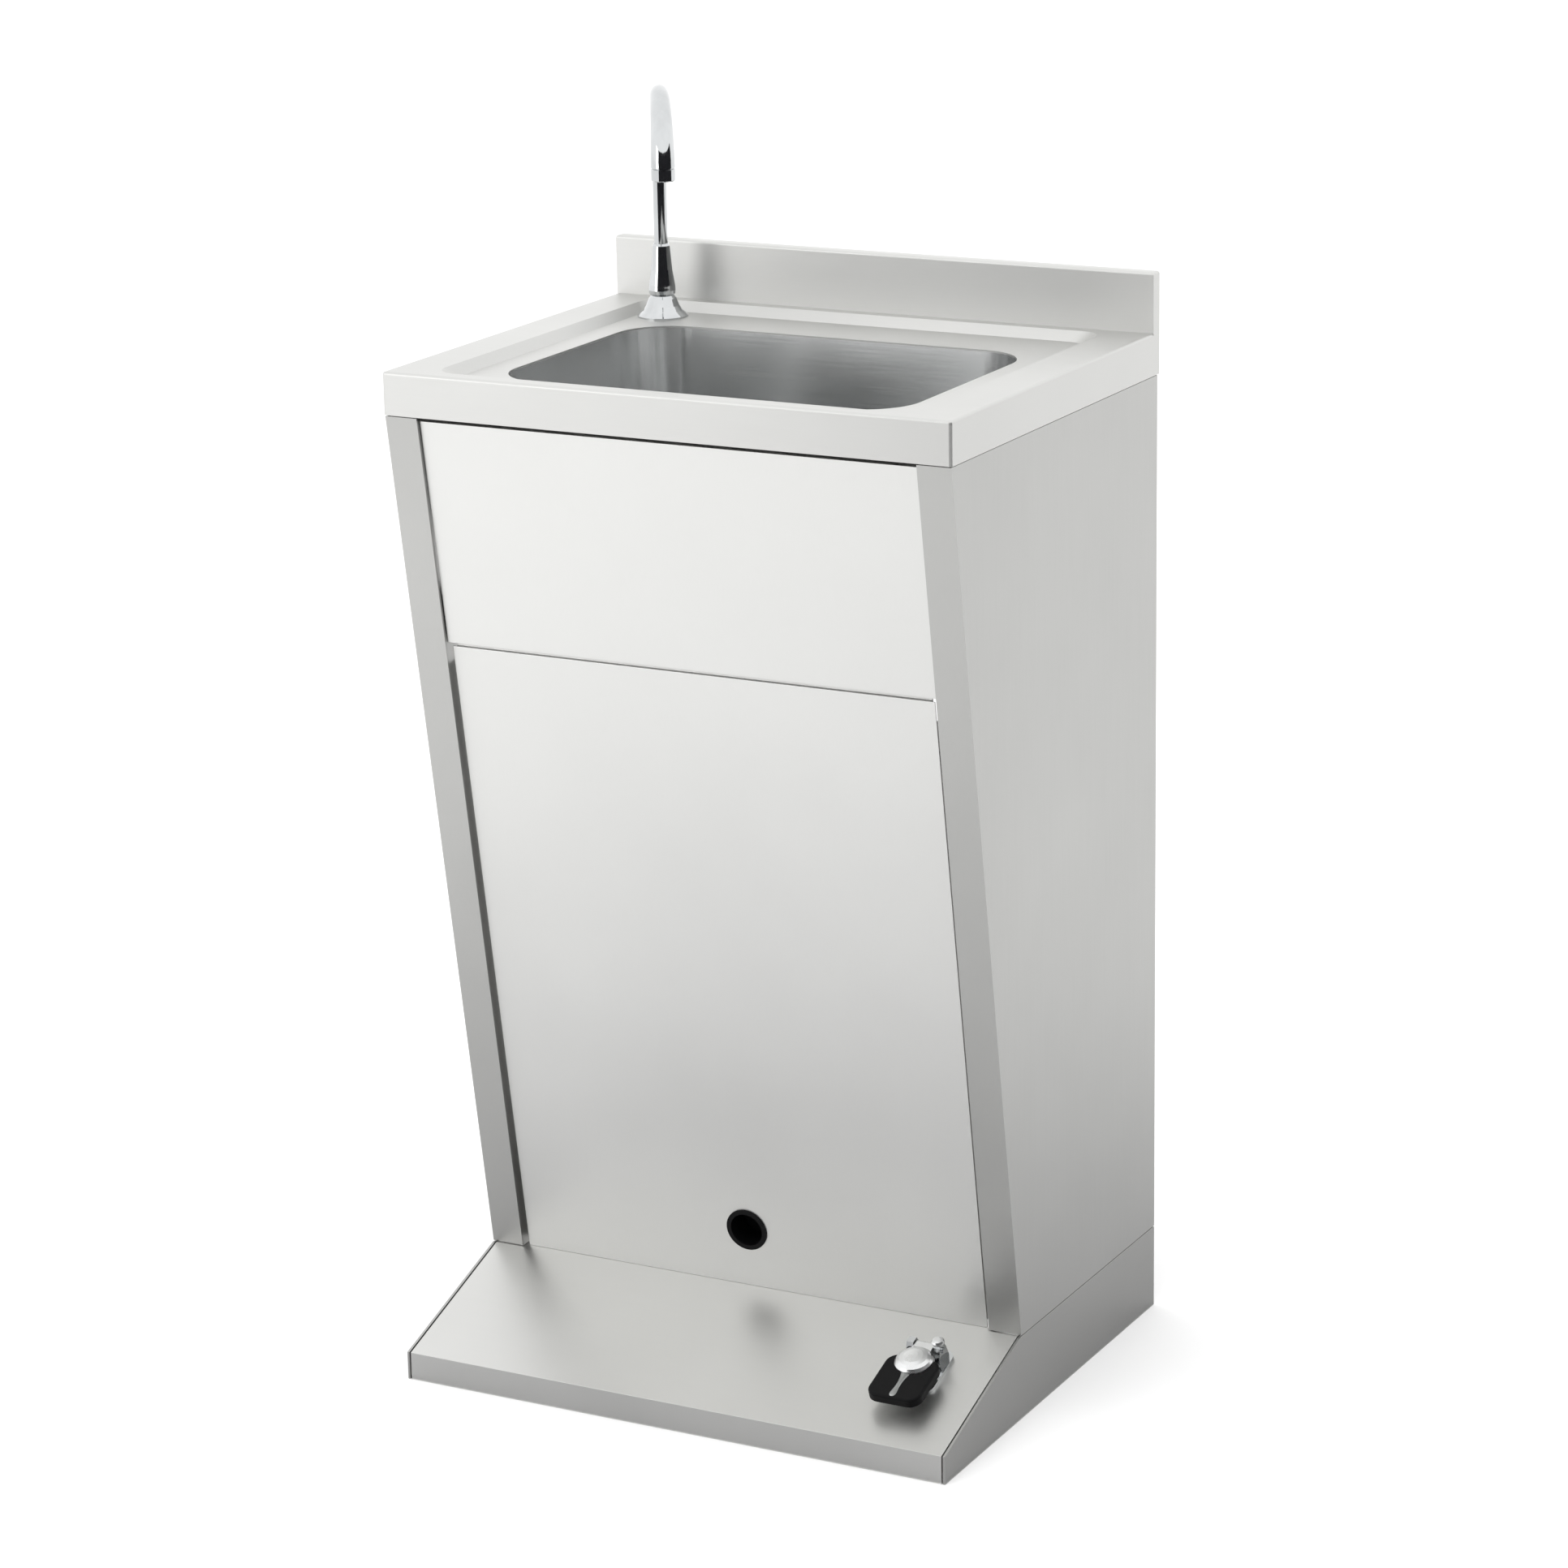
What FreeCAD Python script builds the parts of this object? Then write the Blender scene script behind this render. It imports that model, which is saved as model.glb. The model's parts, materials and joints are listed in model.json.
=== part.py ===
"""Free-standing stainless-steel hand-wash basin with a swan-neck spout and a foot pedal.

Row frame, millimetres: X to the user's right, Y towards the wall, Z up. The origin is on
the floor, at the centre of the base. The basin stands with its back plane at
+base_depth / 2. Every size is a cell of the sheet Dim, and every sketch is bound to it.
"""
import FreeCAD, Part
import math
import os

import Sketcher

DOC = FreeCAD.newDocument("hand_wash_basin")
DIM = DOC.addObject("Spreadsheet::Sheet", "Dim")

SIZES = {
    "worktop": dict(
        top_width=500, rim_height=850, top_depth=390, band_height=35, top_sheet=1.5,
        band_return=15, splash_height=50, splash_thick=12, rim_side=38, rim_front=14.5,
        rim_back=11.5, recess_depth=8, recess_slope=8, recess_radius=20, edge_radius=2.4,
    ),
    "bowl": dict(
        bowl_long=360, bowl_wide=256, bowl_front=45, bowl_depth=150, bowl_radius=45,
        bowl_taper=12, bowl_fillet=28, bowl_sheet=1.2, drain_radius=22,
    ),
    "cabinet": dict(
        base_depth=415, shell_inset=1, side_sheet=1.5, leg_face=29, leg_return=15,
        flange_width=25, flange_inset=0.8, leg_step=1, seam=1, back_inset=1.5,
        face_sheet=1.2, upper_setback=3, lower_setback=5, upper_gap=0.8, face_gap=3.6,
        seam_height=623,
        tongue=8, tongue_inset=3, tongue_step=2.6, seam_shadow=3, hem_depth=14,
        rest_gap=0.2, panel_lift=16,
        guide_gap=0.8, guide_height=42, guide_depth=22, rail_inset=2,
        wall_rail_drop=50, wall_rail_height=70, wall_rail_depth=20, wall_bolt_pitch=300,
        wall_bolt_radius=4.5,
        hole_height=124, hole_radius=16.5, cup_flange=2, cup_wall=2, cup_proud=1.2,
        cup_depth=24, cup_floor=2, magnet_pitch=300, magnet_width=20, magnet_depth=12,
        magnet_height=14, magnet_gap=0.5,
    ),
    "plinth": dict(
        plinth_height=72, lip_height=24, ramp_run=142, plinth_sheet=2, foot_return=18,
        ledge_depth=25, cheek_gap=1.2, floor_rail_place=183, floor_rail_height=60,
        floor_rail_flange=14, anchor_pitch_x=470, anchor_pitch_y=300, anchor_radius=4.5,
    ),
    "spout": dict(
        tap_x=-182, tap_back=54.5, tap_flange=21.5, tap_skirt=18, tap_bulb=11.4,
        tap_body_height=62, tap_neck=7.3, riser_radius=5.8, riser_socket=24,
        spout_height=203, spout_reach=106, outlet_radius=10, spout_wall=1.1,
        spout_turn=31, swivel_gap=0.08, ring_drop=15, ring_section=1.6, ring_gap=0.1,
        aerator_height=11, aerator_bore=7,
        shank_radius=10.4, shank_length=46, shank_bore=5, tap_hole_gap=0.6,
        washer_radius=17, washer_thick=3, backnut_flats=30, backnut_thick=8, thread_gap=0.1,
    ),
    "waste": dict(
        strainer_radius=35, strainer_lip=2.5, strainer_dish=26, strainer_sheet=1.6,
        strainer_neck=21.4, strainer_drop=26, slot_radius=3.4, slot_ring=15,
        gasket_thick=3, waste_radius=33, waste_flange=5, waste_cup_drop=34, waste_wall=2,
        tail_radius=16, tail_wall=1.5, tail_length=66, tail_lap=14, waste_neck=20,
        waste_neck_length=18, slip_gap=0.3, slip_nut_flats=48, slip_nut_height=14,
        trap_radius=27, trap_wall=2.5, trap_cap_height=56, trap_cup_height=88,
        trap_boss=20, trap_boss_length=48, trap_outlet_rise=24, outlet_radius_out=20,
        outlet_lap=14, outlet_nut_flats=56, outlet_nut_length=16, outlet_back_gap=2.5,
        mark_gap=1.5, mark_width=2, mark_depth=0.8,
    ),
    "pedal": dict(
        pedal_x=187, valve_run=82, bracket_half=20, bracket_front=18, bracket_back=34,
        bracket_plate=3, bracket_radius=8, neck_radius=9, neck_drop=14, neck_hole_gap=0.5,
        guide_radius=7, guide_rise=6, hinge_run=22, hinge_rise=13.5, lug_inner=9,
        lug_thick=6, lug_radius=6.2, pin_radius=2.5, pin_gap=0.08, pin_overhang=1.5,
        pad_half=22, pad_front=45, pad_back=5, pad_clear=10.5, pad_thick=6, pad_radius=9,
        cover_wall=1.4, cover_gap=0.1, dome_radius=16.5, dome_rise=8, dome_steps=6,
        tongue_half=8.4, tongue_radius=4.6, tongue_front=2, tongue_low=1.7, screw_radius=5.4,
        screw_rise=5, plunger_tip=3, plunger_radius=3, plunger_gap=0.08, plunger_rest_gap=0.3,
        disc_radius=6.6, disc_thick=2.5, seat_depth=20, washer_lift=1.6,
        valve_radius=14, valve_length=46, valve_top=10, valve_bore=8, valve_floor=4,
        port_radius=7, port_bore=4, port_reach=26, inlet_depth=30, outlet_depth=24,
        locknut_flats=26, locknut_thick=6, spring_radius=5.6, spring_wire=0.9,
        spring_turns=4, spring_length=10,
    ),
    "fasteners": dict(
        screw_shank=2.5, screw_gap=0.1, screw_head=4.6, screw_head_high=3, nut_flats=8,
        nut_thick=4, screw_tail=2, screw_front=10.5, screw_back=46,
    ),
    "plumbing": dict(
        hose_radius=6, hose_nut_rim=8, hose_nut_length=20, hose_nut_lap=9, hose_seat=1,
        union_radius=10.48, union_bore=6, union_free=18, union_collar=14, collar_thick=3,
        union_front=12, relief_width=2, relief_depth=0.9,
        union_height=30, union_nut_flats=30, union_nut_thick=6,
    ),
}

row = 1
for group, cells in SIZES.items():
    for alias, amount in cells.items():
        DIM.set(f"A{row}", f"{group}: {alias}")
        DIM.set(f"B{row}", str(amount))
        DIM.setAlias(f"B{row}", alias)
        row += 1
DOC.recompute()


# --- Places worked out from the sheet, as expressions -----------------------------------

BACK = "(Dim.base_depth / 2)"
HALF = "(Dim.top_width / 2)"
TOP_FRONT = f"({BACK} - Dim.top_depth)"
SPLASH_FRONT = f"({BACK} - Dim.splash_thick)"
BAND_LOW = "(Dim.rim_height - Dim.band_height)"
PAN_TOP = "(Dim.rim_height - Dim.recess_depth)"
PAN_LOW = f"({PAN_TOP} - Dim.top_sheet)"
RECESS_X = f"({HALF} - Dim.rim_side)"
RECESS_FRONT = f"({TOP_FRONT} + Dim.rim_front)"
RECESS_BACK = f"({SPLASH_FRONT} - Dim.rim_back)"
BOWL_FRONT = f"({TOP_FRONT} + Dim.bowl_front)"
BOWL_Y = f"({BOWL_FRONT} + Dim.bowl_wide / 2)"
BOWL_FLOOR = f"({PAN_TOP} - Dim.bowl_depth)"
DRAIN_LOW = f"({BOWL_FLOOR} - Dim.bowl_sheet)"

SHELL_X = f"({HALF} - Dim.shell_inset)"
SHELL_BACK = f"({BACK} - Dim.back_inset)"
LEG_X = f"({SHELL_X} - Dim.leg_face)"
LEG_TOP_Y = f"({TOP_FRONT} + Dim.shell_inset)"
RAMP_TOP_Y = f"(Dim.ramp_run - {BACK})"
LEG_FOOT_Y = f"({RAMP_TOP_Y} + Dim.leg_step)"
LEG_RUN = f"({LEG_FOOT_Y} - {LEG_TOP_Y})"
LEG_TOP_Z = f"({BAND_LOW} - Dim.seam)"
LEG_FOOT_Z = "(Dim.plinth_height + Dim.seam)"
LEAN = f"atan({LEG_RUN} / ({LEG_TOP_Z} - {LEG_FOOT_Z}))"
LEAN_COS = f"cos({LEAN})"
FACE_TOP = f"(({LEG_TOP_Z} - {LEG_FOOT_Z}) / {LEAN_COS})"
FACE_SEAM = f"((Dim.seam_height - {LEG_FOOT_Z}) / {LEAN_COS})"
FACE_HOLE = f"((Dim.hole_height - {LEG_FOOT_Z}) / {LEAN_COS})"
FACE_X = f"({LEG_X} - Dim.face_gap)"
UPPER_X = f"({LEG_X} - Dim.upper_gap)"
LOWER_BACK = "(Dim.lower_setback + Dim.face_sheet)"
TONGUE_BACK = f"({LOWER_BACK} + Dim.tongue_step)"
FACE_LOW = f"((Dim.rest_gap - Dim.seam - Dim.lower_setback * sin({LEAN})) / {LEAN_COS})"

FRONT = f"(-{BACK})"
RAMP_RISE = "(Dim.plinth_height - Dim.lip_height)"
RAMP = f"atan({RAMP_RISE} / Dim.ramp_run)"
LEDGE_Y = f"({RAMP_TOP_Y} + Dim.ledge_depth)"
CHEEK_X = f"({SHELL_X} - Dim.plinth_sheet)"
TREAD_X = f"({CHEEK_X} - Dim.cheek_gap)"
VALVE_Y = f"({FRONT} + Dim.valve_run * cos({RAMP}))"
VALVE_Z = f"(Dim.lip_height + Dim.valve_run * sin({RAMP}))"
PAD_TOP = "(Dim.pad_clear + Dim.pad_thick)"
LUG_TOP = "(Dim.hinge_rise + Dim.lug_radius)"
DISC_TOP = "(-Dim.seat_depth)"
DISC_LOW = "(-Dim.seat_depth - Dim.disc_thick)"

TAP_Y = f"({BACK} - Dim.tap_back)"
ARCH_RADIUS = "(Dim.spout_reach / 2)"
SPRING_LINE = f"(Dim.spout_height - Dim.outlet_radius * 0.82 - {ARCH_RADIUS})"
RAIL_FRONT = "Dim.floor_rail_place"

SCREW_X = f"({HALF} - Dim.top_sheet - Dim.band_return / 2)"
SCREW_HOLE = "Dim.screw_shank + Dim.screw_gap"
SCREW_FIRST = f"({LEDGE_Y} + Dim.screw_front)"
SCREW_LAST = f"({SHELL_BACK} - Dim.screw_back)"
SCREW_YS = [SCREW_FIRST, f"(({SCREW_FIRST} + {SCREW_LAST}) / 2)", SCREW_LAST]

PAST = "1"    # how far a cut runs past the face that it opens, and a join into its neighbour

NO_PLACE = ("0", "0", "0", None, "0")
IN_LEAN = ("0", LEG_FOOT_Y, LEG_FOOT_Z, (1, 0, 0), LEAN)
ON_RAMP = ("Dim.pedal_x", VALVE_Y, VALVE_Z, (1, 0, 0), RAMP)
ON_PAN = ("Dim.tap_x", TAP_Y, PAN_TOP, None, "0")
AT_DRAIN = ("0", BOWL_Y, DRAIN_LOW, None, "0")

PARTS = []


# --- Helpers -----------------------------------------------------------------------------

def number(expression):
    """The value of an expression over the sheet, as a float."""
    found = DIM.evalExpression(str(expression))
    return float(getattr(found, "Value", found))


def new_body(label, place=NO_PLACE):
    """A PartDesign body whose placement is bound to the sheet."""
    body = DOC.addObject("PartDesign::Body", label)
    body.Label = label
    bind_place(body, place)
    PARTS.append(body)
    return body


def bind_place(thing, place):
    """Bind an object's placement: x, y, z, rotation axis and angle."""
    x, y, z, axis, angle = place
    if axis:
        turn = FreeCAD.Rotation(FreeCAD.Vector(*axis), number(angle))
        thing.Placement = FreeCAD.Placement(FreeCAD.Vector(), turn)
        thing.setExpression("Placement.Rotation.Angle", angle)
    for key, value in zip("xyz", (x, y, z)):
        thing.setExpression(f"Placement.Base.{key}", value)


def plane_of(body, role):
    return [part for part in body.Origin.OriginFeatures if part.Role == role][0]


def new_sketch(body, role, offset, tilt=None):
    """A sketch on one of the body's origin planes, moved along the plane's normal.

    tilt is (y, z, angle): on the XY plane, the sketch is turned about X at that point.
    """
    sketch = body.newObject("Sketcher::SketchObject", f"{body.Name}_sketch")
    sketch.AttachmentSupport = [(plane_of(body, role), "")]
    sketch.MapMode = "FlatFace"
    if tilt:
        y, z, angle = tilt
        turn = FreeCAD.Rotation(FreeCAD.Vector(1, 0, 0), number(angle))
        sketch.AttachmentOffset = FreeCAD.Placement(FreeCAD.Vector(), turn)
        sketch.setExpression("AttachmentOffset.Rotation.Angle", angle)
        sketch.setExpression("AttachmentOffset.Base.y", y)
        sketch.setExpression("AttachmentOffset.Base.z", z)
    else:
        sketch.setExpression("AttachmentOffset.Base.z", offset)
    return sketch


def bind(sketch, *constraint):
    """Add a dimension whose last entry is an expression."""
    *kind, expression = constraint
    index = sketch.addConstraint(Sketcher.Constraint(*kind, number(expression)))
    sketch.setExpression(f"Constraints[{index}]", expression)


def draw_polygon(sketch, points):
    """A closed outline of straight lines through (x, y) expressions."""
    first = sketch.GeometryCount
    corners = [FreeCAD.Vector(number(x), number(y), 0) for x, y in points]
    count = len(corners)
    for index, corner in enumerate(corners):
        sketch.addGeometry(Part.LineSegment(corner, corners[(index + 1) % count]), False)
    for index, (x, y) in enumerate(points):
        line = first + index
        after = first + (index + 1) % count
        sketch.addConstraint(Sketcher.Constraint("Coincident", line, 2, after, 1))
        bind(sketch, "DistanceX", -1, 1, line, 1, x)
        bind(sketch, "DistanceY", -1, 1, line, 1, y)


def draw_circle(sketch, x, y, radius):
    centre = FreeCAD.Vector(number(x), number(y), 0)
    normal = FreeCAD.Vector(0, 0, 1)
    circle = sketch.addGeometry(Part.Circle(centre, normal, number(radius)), False)
    bind(sketch, "DistanceX", -1, 1, circle, 3, x)
    bind(sketch, "DistanceY", -1, 1, circle, 3, y)
    bind(sketch, "Radius", circle, radius)


def draw_round_rect(sketch, left, low, right, high, radius):
    """A rectangle with four equal round corners: arcs joined by tangent lines."""
    first = sketch.GeometryCount
    corners = [
        (f"({right}) - ({radius})", f"({low}) + ({radius})", 270),
        (f"({right}) - ({radius})", f"({high}) - ({radius})", 0),
        (f"({left}) + ({radius})", f"({high}) - ({radius})", 90),
        (f"({left}) + ({radius})", f"({low}) + ({radius})", 180),
    ]
    reach = number(radius)
    ends = []
    for x, y, start in corners:
        centre = FreeCAD.Vector(number(x), number(y), 0)
        circle = Part.Circle(centre, FreeCAD.Vector(0, 0, 1), reach)
        begin = math.radians(start)
        arc = Part.ArcOfCircle(circle, begin, begin + math.pi / 2)
        sketch.addGeometry(arc, False)
        ends.append((arc.StartPoint, arc.EndPoint))
    for index in range(4):
        line = Part.LineSegment(ends[index][1], ends[(index + 1) % 4][0])
        sketch.addGeometry(line, False)
    for index in range(4):
        arc = first + index
        line = first + 4 + index
        after = first + (index + 1) % 4
        sketch.addConstraint(Sketcher.Constraint("Tangent", arc, 2, line, 1))
        sketch.addConstraint(Sketcher.Constraint("Tangent", line, 2, after, 1))
        bind(sketch, "DistanceX", -1, 1, arc, 3, corners[index][0])
        bind(sketch, "DistanceY", -1, 1, arc, 3, corners[index][1])
        bind(sketch, "Radius", arc, radius)


def draw(sketch, loops):
    """Loops are ("polygon", points), ("circle", x, y, r) or ("round", x0, y0, x1, y1, r)."""
    for kind, *values in loops:
        if kind == "polygon":
            draw_polygon(sketch, values[0])
        elif kind == "circle":
            draw_circle(sketch, *values)
        else:
            draw_round_rect(sketch, *values)


def rectangle(left, low, right, high):
    return ("polygon", [(left, low), (right, low), (right, high), (left, high)])


def extrude(body, role, start, stop, loops, cut=False):
    """Pad or pocket loops between two stations along the plane's row axis (+X, +Y or +Z)."""
    along_y = role == "XZ_Plane"
    sketch = new_sketch(body, role, f"-({start})" if along_y else start)
    draw(sketch, loops)
    kind = "PartDesign::Pocket" if cut else "PartDesign::Pad"
    feature = body.newObject(kind, f"{body.Name}_{'cut' if cut else 'pad'}")
    feature.Profile = sketch
    feature.setExpression("Length", f"({stop}) - ({start})")
    feature.Reversed = along_y != cut
    DOC.recompute()
    return feature


def revolve(body, outline, cut=False):
    """Revolve an (r, z) outline about the body's own Z axis."""
    sketch = new_sketch(body, "XZ_Plane", "0")
    draw_polygon(sketch, outline)
    kind = "PartDesign::Groove" if cut else "PartDesign::Revolution"
    feature = body.newObject(kind, f"{body.Name}_turned")
    feature.Profile = sketch
    feature.ReferenceAxis = (sketch, ["V_Axis"])
    feature.Angle = 360
    DOC.recompute()
    return feature


def loft(body, stations, cut=False):
    """Loft between (height, loop) stations on planes parallel to XY."""
    sketches = []
    for height, loop in stations:
        sketch = new_sketch(body, "XY_Plane", height)
        draw(sketch, [loop])
        sketches.append(sketch)
    kind = "PartDesign::SubtractiveLoft" if cut else "PartDesign::AdditiveLoft"
    feature = body.newObject(kind, f"{body.Name}_loft")
    feature.Profile = sketches[0]
    feature.Sections = sketches[1:]
    feature.Ruled = True
    DOC.recompute()
    return feature


def fillet(body, radius, wanted):
    """Round the edges of the body's tip that the wanted(edge) test picks."""
    base = body.Tip
    names = [f"Edge{n}" for n, edge in enumerate(base.Shape.Edges, 1) if wanted(edge)]
    feature = body.newObject("PartDesign::Fillet", f"{body.Name}_fillet")
    feature.Base = (base, names)
    feature.setExpression("Radius", radius)
    DOC.recompute()
    return feature


def near(value, expression):
    return abs(value - number(expression)) < 1e-4


def flat_at(edge, axis, expression):
    """True for an edge that lies wholly in a plane across one axis."""
    box = edge.BoundBox
    low = getattr(box, f"{axis}Min")
    high = getattr(box, f"{axis}Max")
    return near(low, expression) and near(high, expression)


def hexagon(flats, turn=0):
    """Corners of a hexagon of the given width across flats."""
    corners = []
    for step in range(6):
        angle = 60 * step + turn
        corners.append((f"{flats} / 2 / cos(30) * cos({angle})",
                        f"{flats} / 2 / cos(30) * sin({angle})"))
    return ("polygon", corners)


def turned(label, place, outline):
    body = new_body(label, place)
    revolve(body, outline)
    return body


def ring_outline(inner, outer, low, high):
    return [(inner, low), (outer, low), (outer, high), (inner, high)]


def hex_nut(label, place, flats, bore, low, high):
    """A hexagon nut about the body's Z axis, with chamfered outer corners."""
    body = new_body(label, place)
    extrude(body, "XY_Plane", low, high, [hexagon(flats), ("circle", "0", "0", bore)])
    return body


def screw_holes(sides):
    return [("circle", f"{side} * {SCREW_X}", y, SCREW_HOLE) for side in sides for y in SCREW_YS]


# --- Worktop and bowl --------------------------------------------------------------------

def recess_loop(grow):
    """The sunk area of the worktop, grown outwards by an expression."""
    return ("round", f"-{RECESS_X} - ({grow})", f"{RECESS_FRONT} - ({grow})",
            f"{RECESS_X} + ({grow})", f"{RECESS_BACK} + ({grow})", "Dim.recess_radius")


def bowl_loop(grow):
    """The bowl's outline, grown outwards by an expression."""
    return ("round", f"-Dim.bowl_long / 2 - ({grow})", f"{BOWL_FRONT} - ({grow})",
            f"Dim.bowl_long / 2 + ({grow})", f"{BOWL_FRONT} + Dim.bowl_wide + ({grow})",
            f"Dim.bowl_radius + ({grow})")


def build_worktop():
    """One folded sheet: bands, returns, hollow splash-back and a sunk area with a raised rim."""
    body = new_body("worktop")
    inside = f"{HALF} - Dim.top_sheet"
    sheet_top = "Dim.rim_height - Dim.top_sheet"
    splash_top = "Dim.rim_height + Dim.splash_height"
    extrude(body, "XY_Plane", BAND_LOW, "Dim.rim_height",
            [rectangle(f"-{HALF}", TOP_FRONT, HALF, BACK)])
    extrude(body, "XY_Plane", BAND_LOW, splash_top,
            [rectangle(f"-{HALF}", SPLASH_FRONT, HALF, BACK)])
    fillet(body, "Dim.edge_radius", lambda edge: (
        flat_at(edge, "Z", splash_top)
        or (flat_at(edge, "Z", "Dim.rim_height") and edge.BoundBox.YMin < number(SPLASH_FRONT) - 1)
        or (flat_at(edge, "Y", TOP_FRONT) and flat_at(edge, "X", HALF))
        or (flat_at(edge, "Y", TOP_FRONT) and flat_at(edge, "X", f"-{HALF}"))))
    extrude(body, "XY_Plane", f"{BAND_LOW} + Dim.top_sheet", sheet_top,
            [rectangle(f"-({inside})", f"{TOP_FRONT} + Dim.top_sheet", inside,
                       f"{BACK} - Dim.top_sheet")], cut=True)
    throat = f"{HALF} - Dim.top_sheet - Dim.band_return"
    extrude(body, "XY_Plane", BAND_LOW, f"{BAND_LOW} + 2 * Dim.top_sheet",
            [rectangle(f"-({throat})", f"{TOP_FRONT} + Dim.top_sheet + Dim.band_return",
                       throat, f"{BACK} - Dim.top_sheet - Dim.band_return")], cut=True)
    extrude(body, "XY_Plane", f"{sheet_top} - {PAST}", f"{splash_top} - Dim.top_sheet",
            [rectangle(f"-({inside})", f"{SPLASH_FRONT} + Dim.top_sheet", inside,
                       f"{BACK} - Dim.top_sheet")], cut=True)
    loft(body, [("Dim.rim_height", recess_loop("Dim.top_sheet * 1.42")),
                (PAN_LOW, recess_loop("Dim.top_sheet * 0.42 - Dim.recess_slope"))])
    loft(body, [("Dim.rim_height", recess_loop("0")),
                (PAN_TOP, recess_loop("-Dim.recess_slope"))], cut=True)
    extrude(body, "XY_Plane", f"{PAN_LOW} - {PAST}", f"{PAN_TOP} + {PAST}",
            [bowl_loop("0"), ("circle", "Dim.tap_x", TAP_Y, "Dim.shank_radius + Dim.tap_hole_gap")],
            cut=True)
    extrude(body, "XY_Plane", f"{BAND_LOW} - {PAST}", f"{BAND_LOW} + 2 * Dim.top_sheet",
            screw_holes((-1, 1)), cut=True)
    return body


def bowl_block(name, grow, floor):
    """A tapered block with the bowl's outline and a rounded bottom edge."""
    body = new_body(name)
    PARTS.remove(body)
    loft(body, [(PAN_LOW, bowl_loop(grow)), (floor, bowl_loop(f"{grow} - Dim.bowl_taper"))])
    fillet(body, f"Dim.bowl_fillet + {grow}", lambda edge: flat_at(edge, "Z", floor))
    return body


def build_bowl():
    """Pressed bowl, welded under the worktop's opening, with a flat floor and a drain hole."""
    outside = bowl_block("bowl_outside", "Dim.bowl_sheet", DRAIN_LOW)
    inside = bowl_block("bowl_inside", "0", BOWL_FLOOR)
    extrude(inside, "XY_Plane", f"{DRAIN_LOW} - {PAST}", f"{BOWL_FLOOR} + {PAST}",
            [("circle", "0", BOWL_Y, "Dim.drain_radius")])
    bowl = DOC.addObject("Part::Cut", "bowl")
    bowl.Label = "bowl"
    bowl.Base = outside
    bowl.Tool = inside
    PARTS.append(bowl)
    DOC.recompute()
    return bowl


# --- Cabinet -----------------------------------------------------------------------------

def strip(front_offset, back_offset, low, high):
    """A strip along the leaning front, between two offsets behind the leg face."""
    def front_at(level):
        return f"({LEG_FOOT_Y} - (({level}) - {LEG_FOOT_Z}) * tan({LEAN}))"
    return ("polygon", [(f"{front_at(low)} + ({front_offset}) / {LEAN_COS}", low),
                        (f"{front_at(low)} + ({back_offset}) / {LEAN_COS}", low),
                        (f"{front_at(high)} + ({back_offset}) / {LEAN_COS}", high),
                        (f"{front_at(high)} + ({front_offset}) / {LEAN_COS}", high)])


def build_side_panel(label, side):
    """Folded side: plate, leaning leg face with its return, rear, top and bottom flanges."""
    body = new_body(label)

    def across(inner, outer):
        return (inner, outer) if side > 0 else (f"-({outer})", f"-({inner})")

    def pad(inner, outer, loops):
        start, stop = across(inner, outer)
        extrude(body, "YZ_Plane", start, stop, loops)

    plate_inner = f"{SHELL_X} - Dim.side_sheet"
    flange_inner = f"{SHELL_X} - Dim.flange_width"
    flange_outer = f"{SHELL_X} - Dim.flange_inset"
    rear = f"{SHELL_BACK} - Dim.side_sheet"
    pad(plate_inner, SHELL_X,
        [("polygon", [(LEG_FOOT_Y, LEG_FOOT_Z), (SHELL_BACK, LEG_FOOT_Z),
                      (SHELL_BACK, LEG_TOP_Z), (LEG_TOP_Y, LEG_TOP_Z)])])
    pad(LEG_X, SHELL_X, [strip("0", "Dim.side_sheet", LEG_FOOT_Z, LEG_TOP_Z)])
    pad(LEG_X, f"{LEG_X} + Dim.side_sheet",
        [strip("0", "Dim.leg_return", LEG_FOOT_Z, LEG_TOP_Z)])
    pad(flange_inner, SHELL_X, [rectangle(rear, LEG_FOOT_Z, SHELL_BACK, LEG_TOP_Z)])
    pad(flange_inner, flange_outer,
        [rectangle(f"{LEG_FOOT_Y} + 2 * Dim.side_sheet", "Dim.plinth_height",
                   f"{SHELL_BACK} - Dim.flange_inset", "Dim.plinth_height + Dim.side_sheet")])
    pad(flange_inner, flange_outer,
        [rectangle(f"{LEG_TOP_Y} + 2 * Dim.side_sheet", f"{BAND_LOW} - Dim.side_sheet",
                   f"{SHELL_BACK} - Dim.flange_inset", BAND_LOW)])
    for low in ("Dim.plinth_height - Dim.side_sheet", f"{BAND_LOW} - 2 * Dim.side_sheet"):
        extrude(body, "XY_Plane", low, f"{low} + 3 * Dim.side_sheet",
                screw_holes((side,)), cut=True)
    return body


def build_upper_panel():
    """Fixed upper front sheet between the legs, in the leaning frame of the front."""
    body = new_body("upper_front_panel", IN_LEAN)
    back = "Dim.upper_setback + Dim.face_sheet"
    top = f"{FACE_TOP} - Dim.upper_setback"
    extrude(body, "YZ_Plane", f"-{UPPER_X}", UPPER_X,
            [("polygon", [("Dim.upper_setback", f"{FACE_SEAM} + Dim.seam / 2"),
                          (back, f"{FACE_SEAM} + Dim.seam / 2"),
                          (back, f"{top} - Dim.face_sheet"),
                          (f"{back} + Dim.hem_depth", f"{top} - Dim.face_sheet"),
                          (f"{back} + Dim.hem_depth", top),
                          ("Dim.upper_setback", top)])])
    return body


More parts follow.
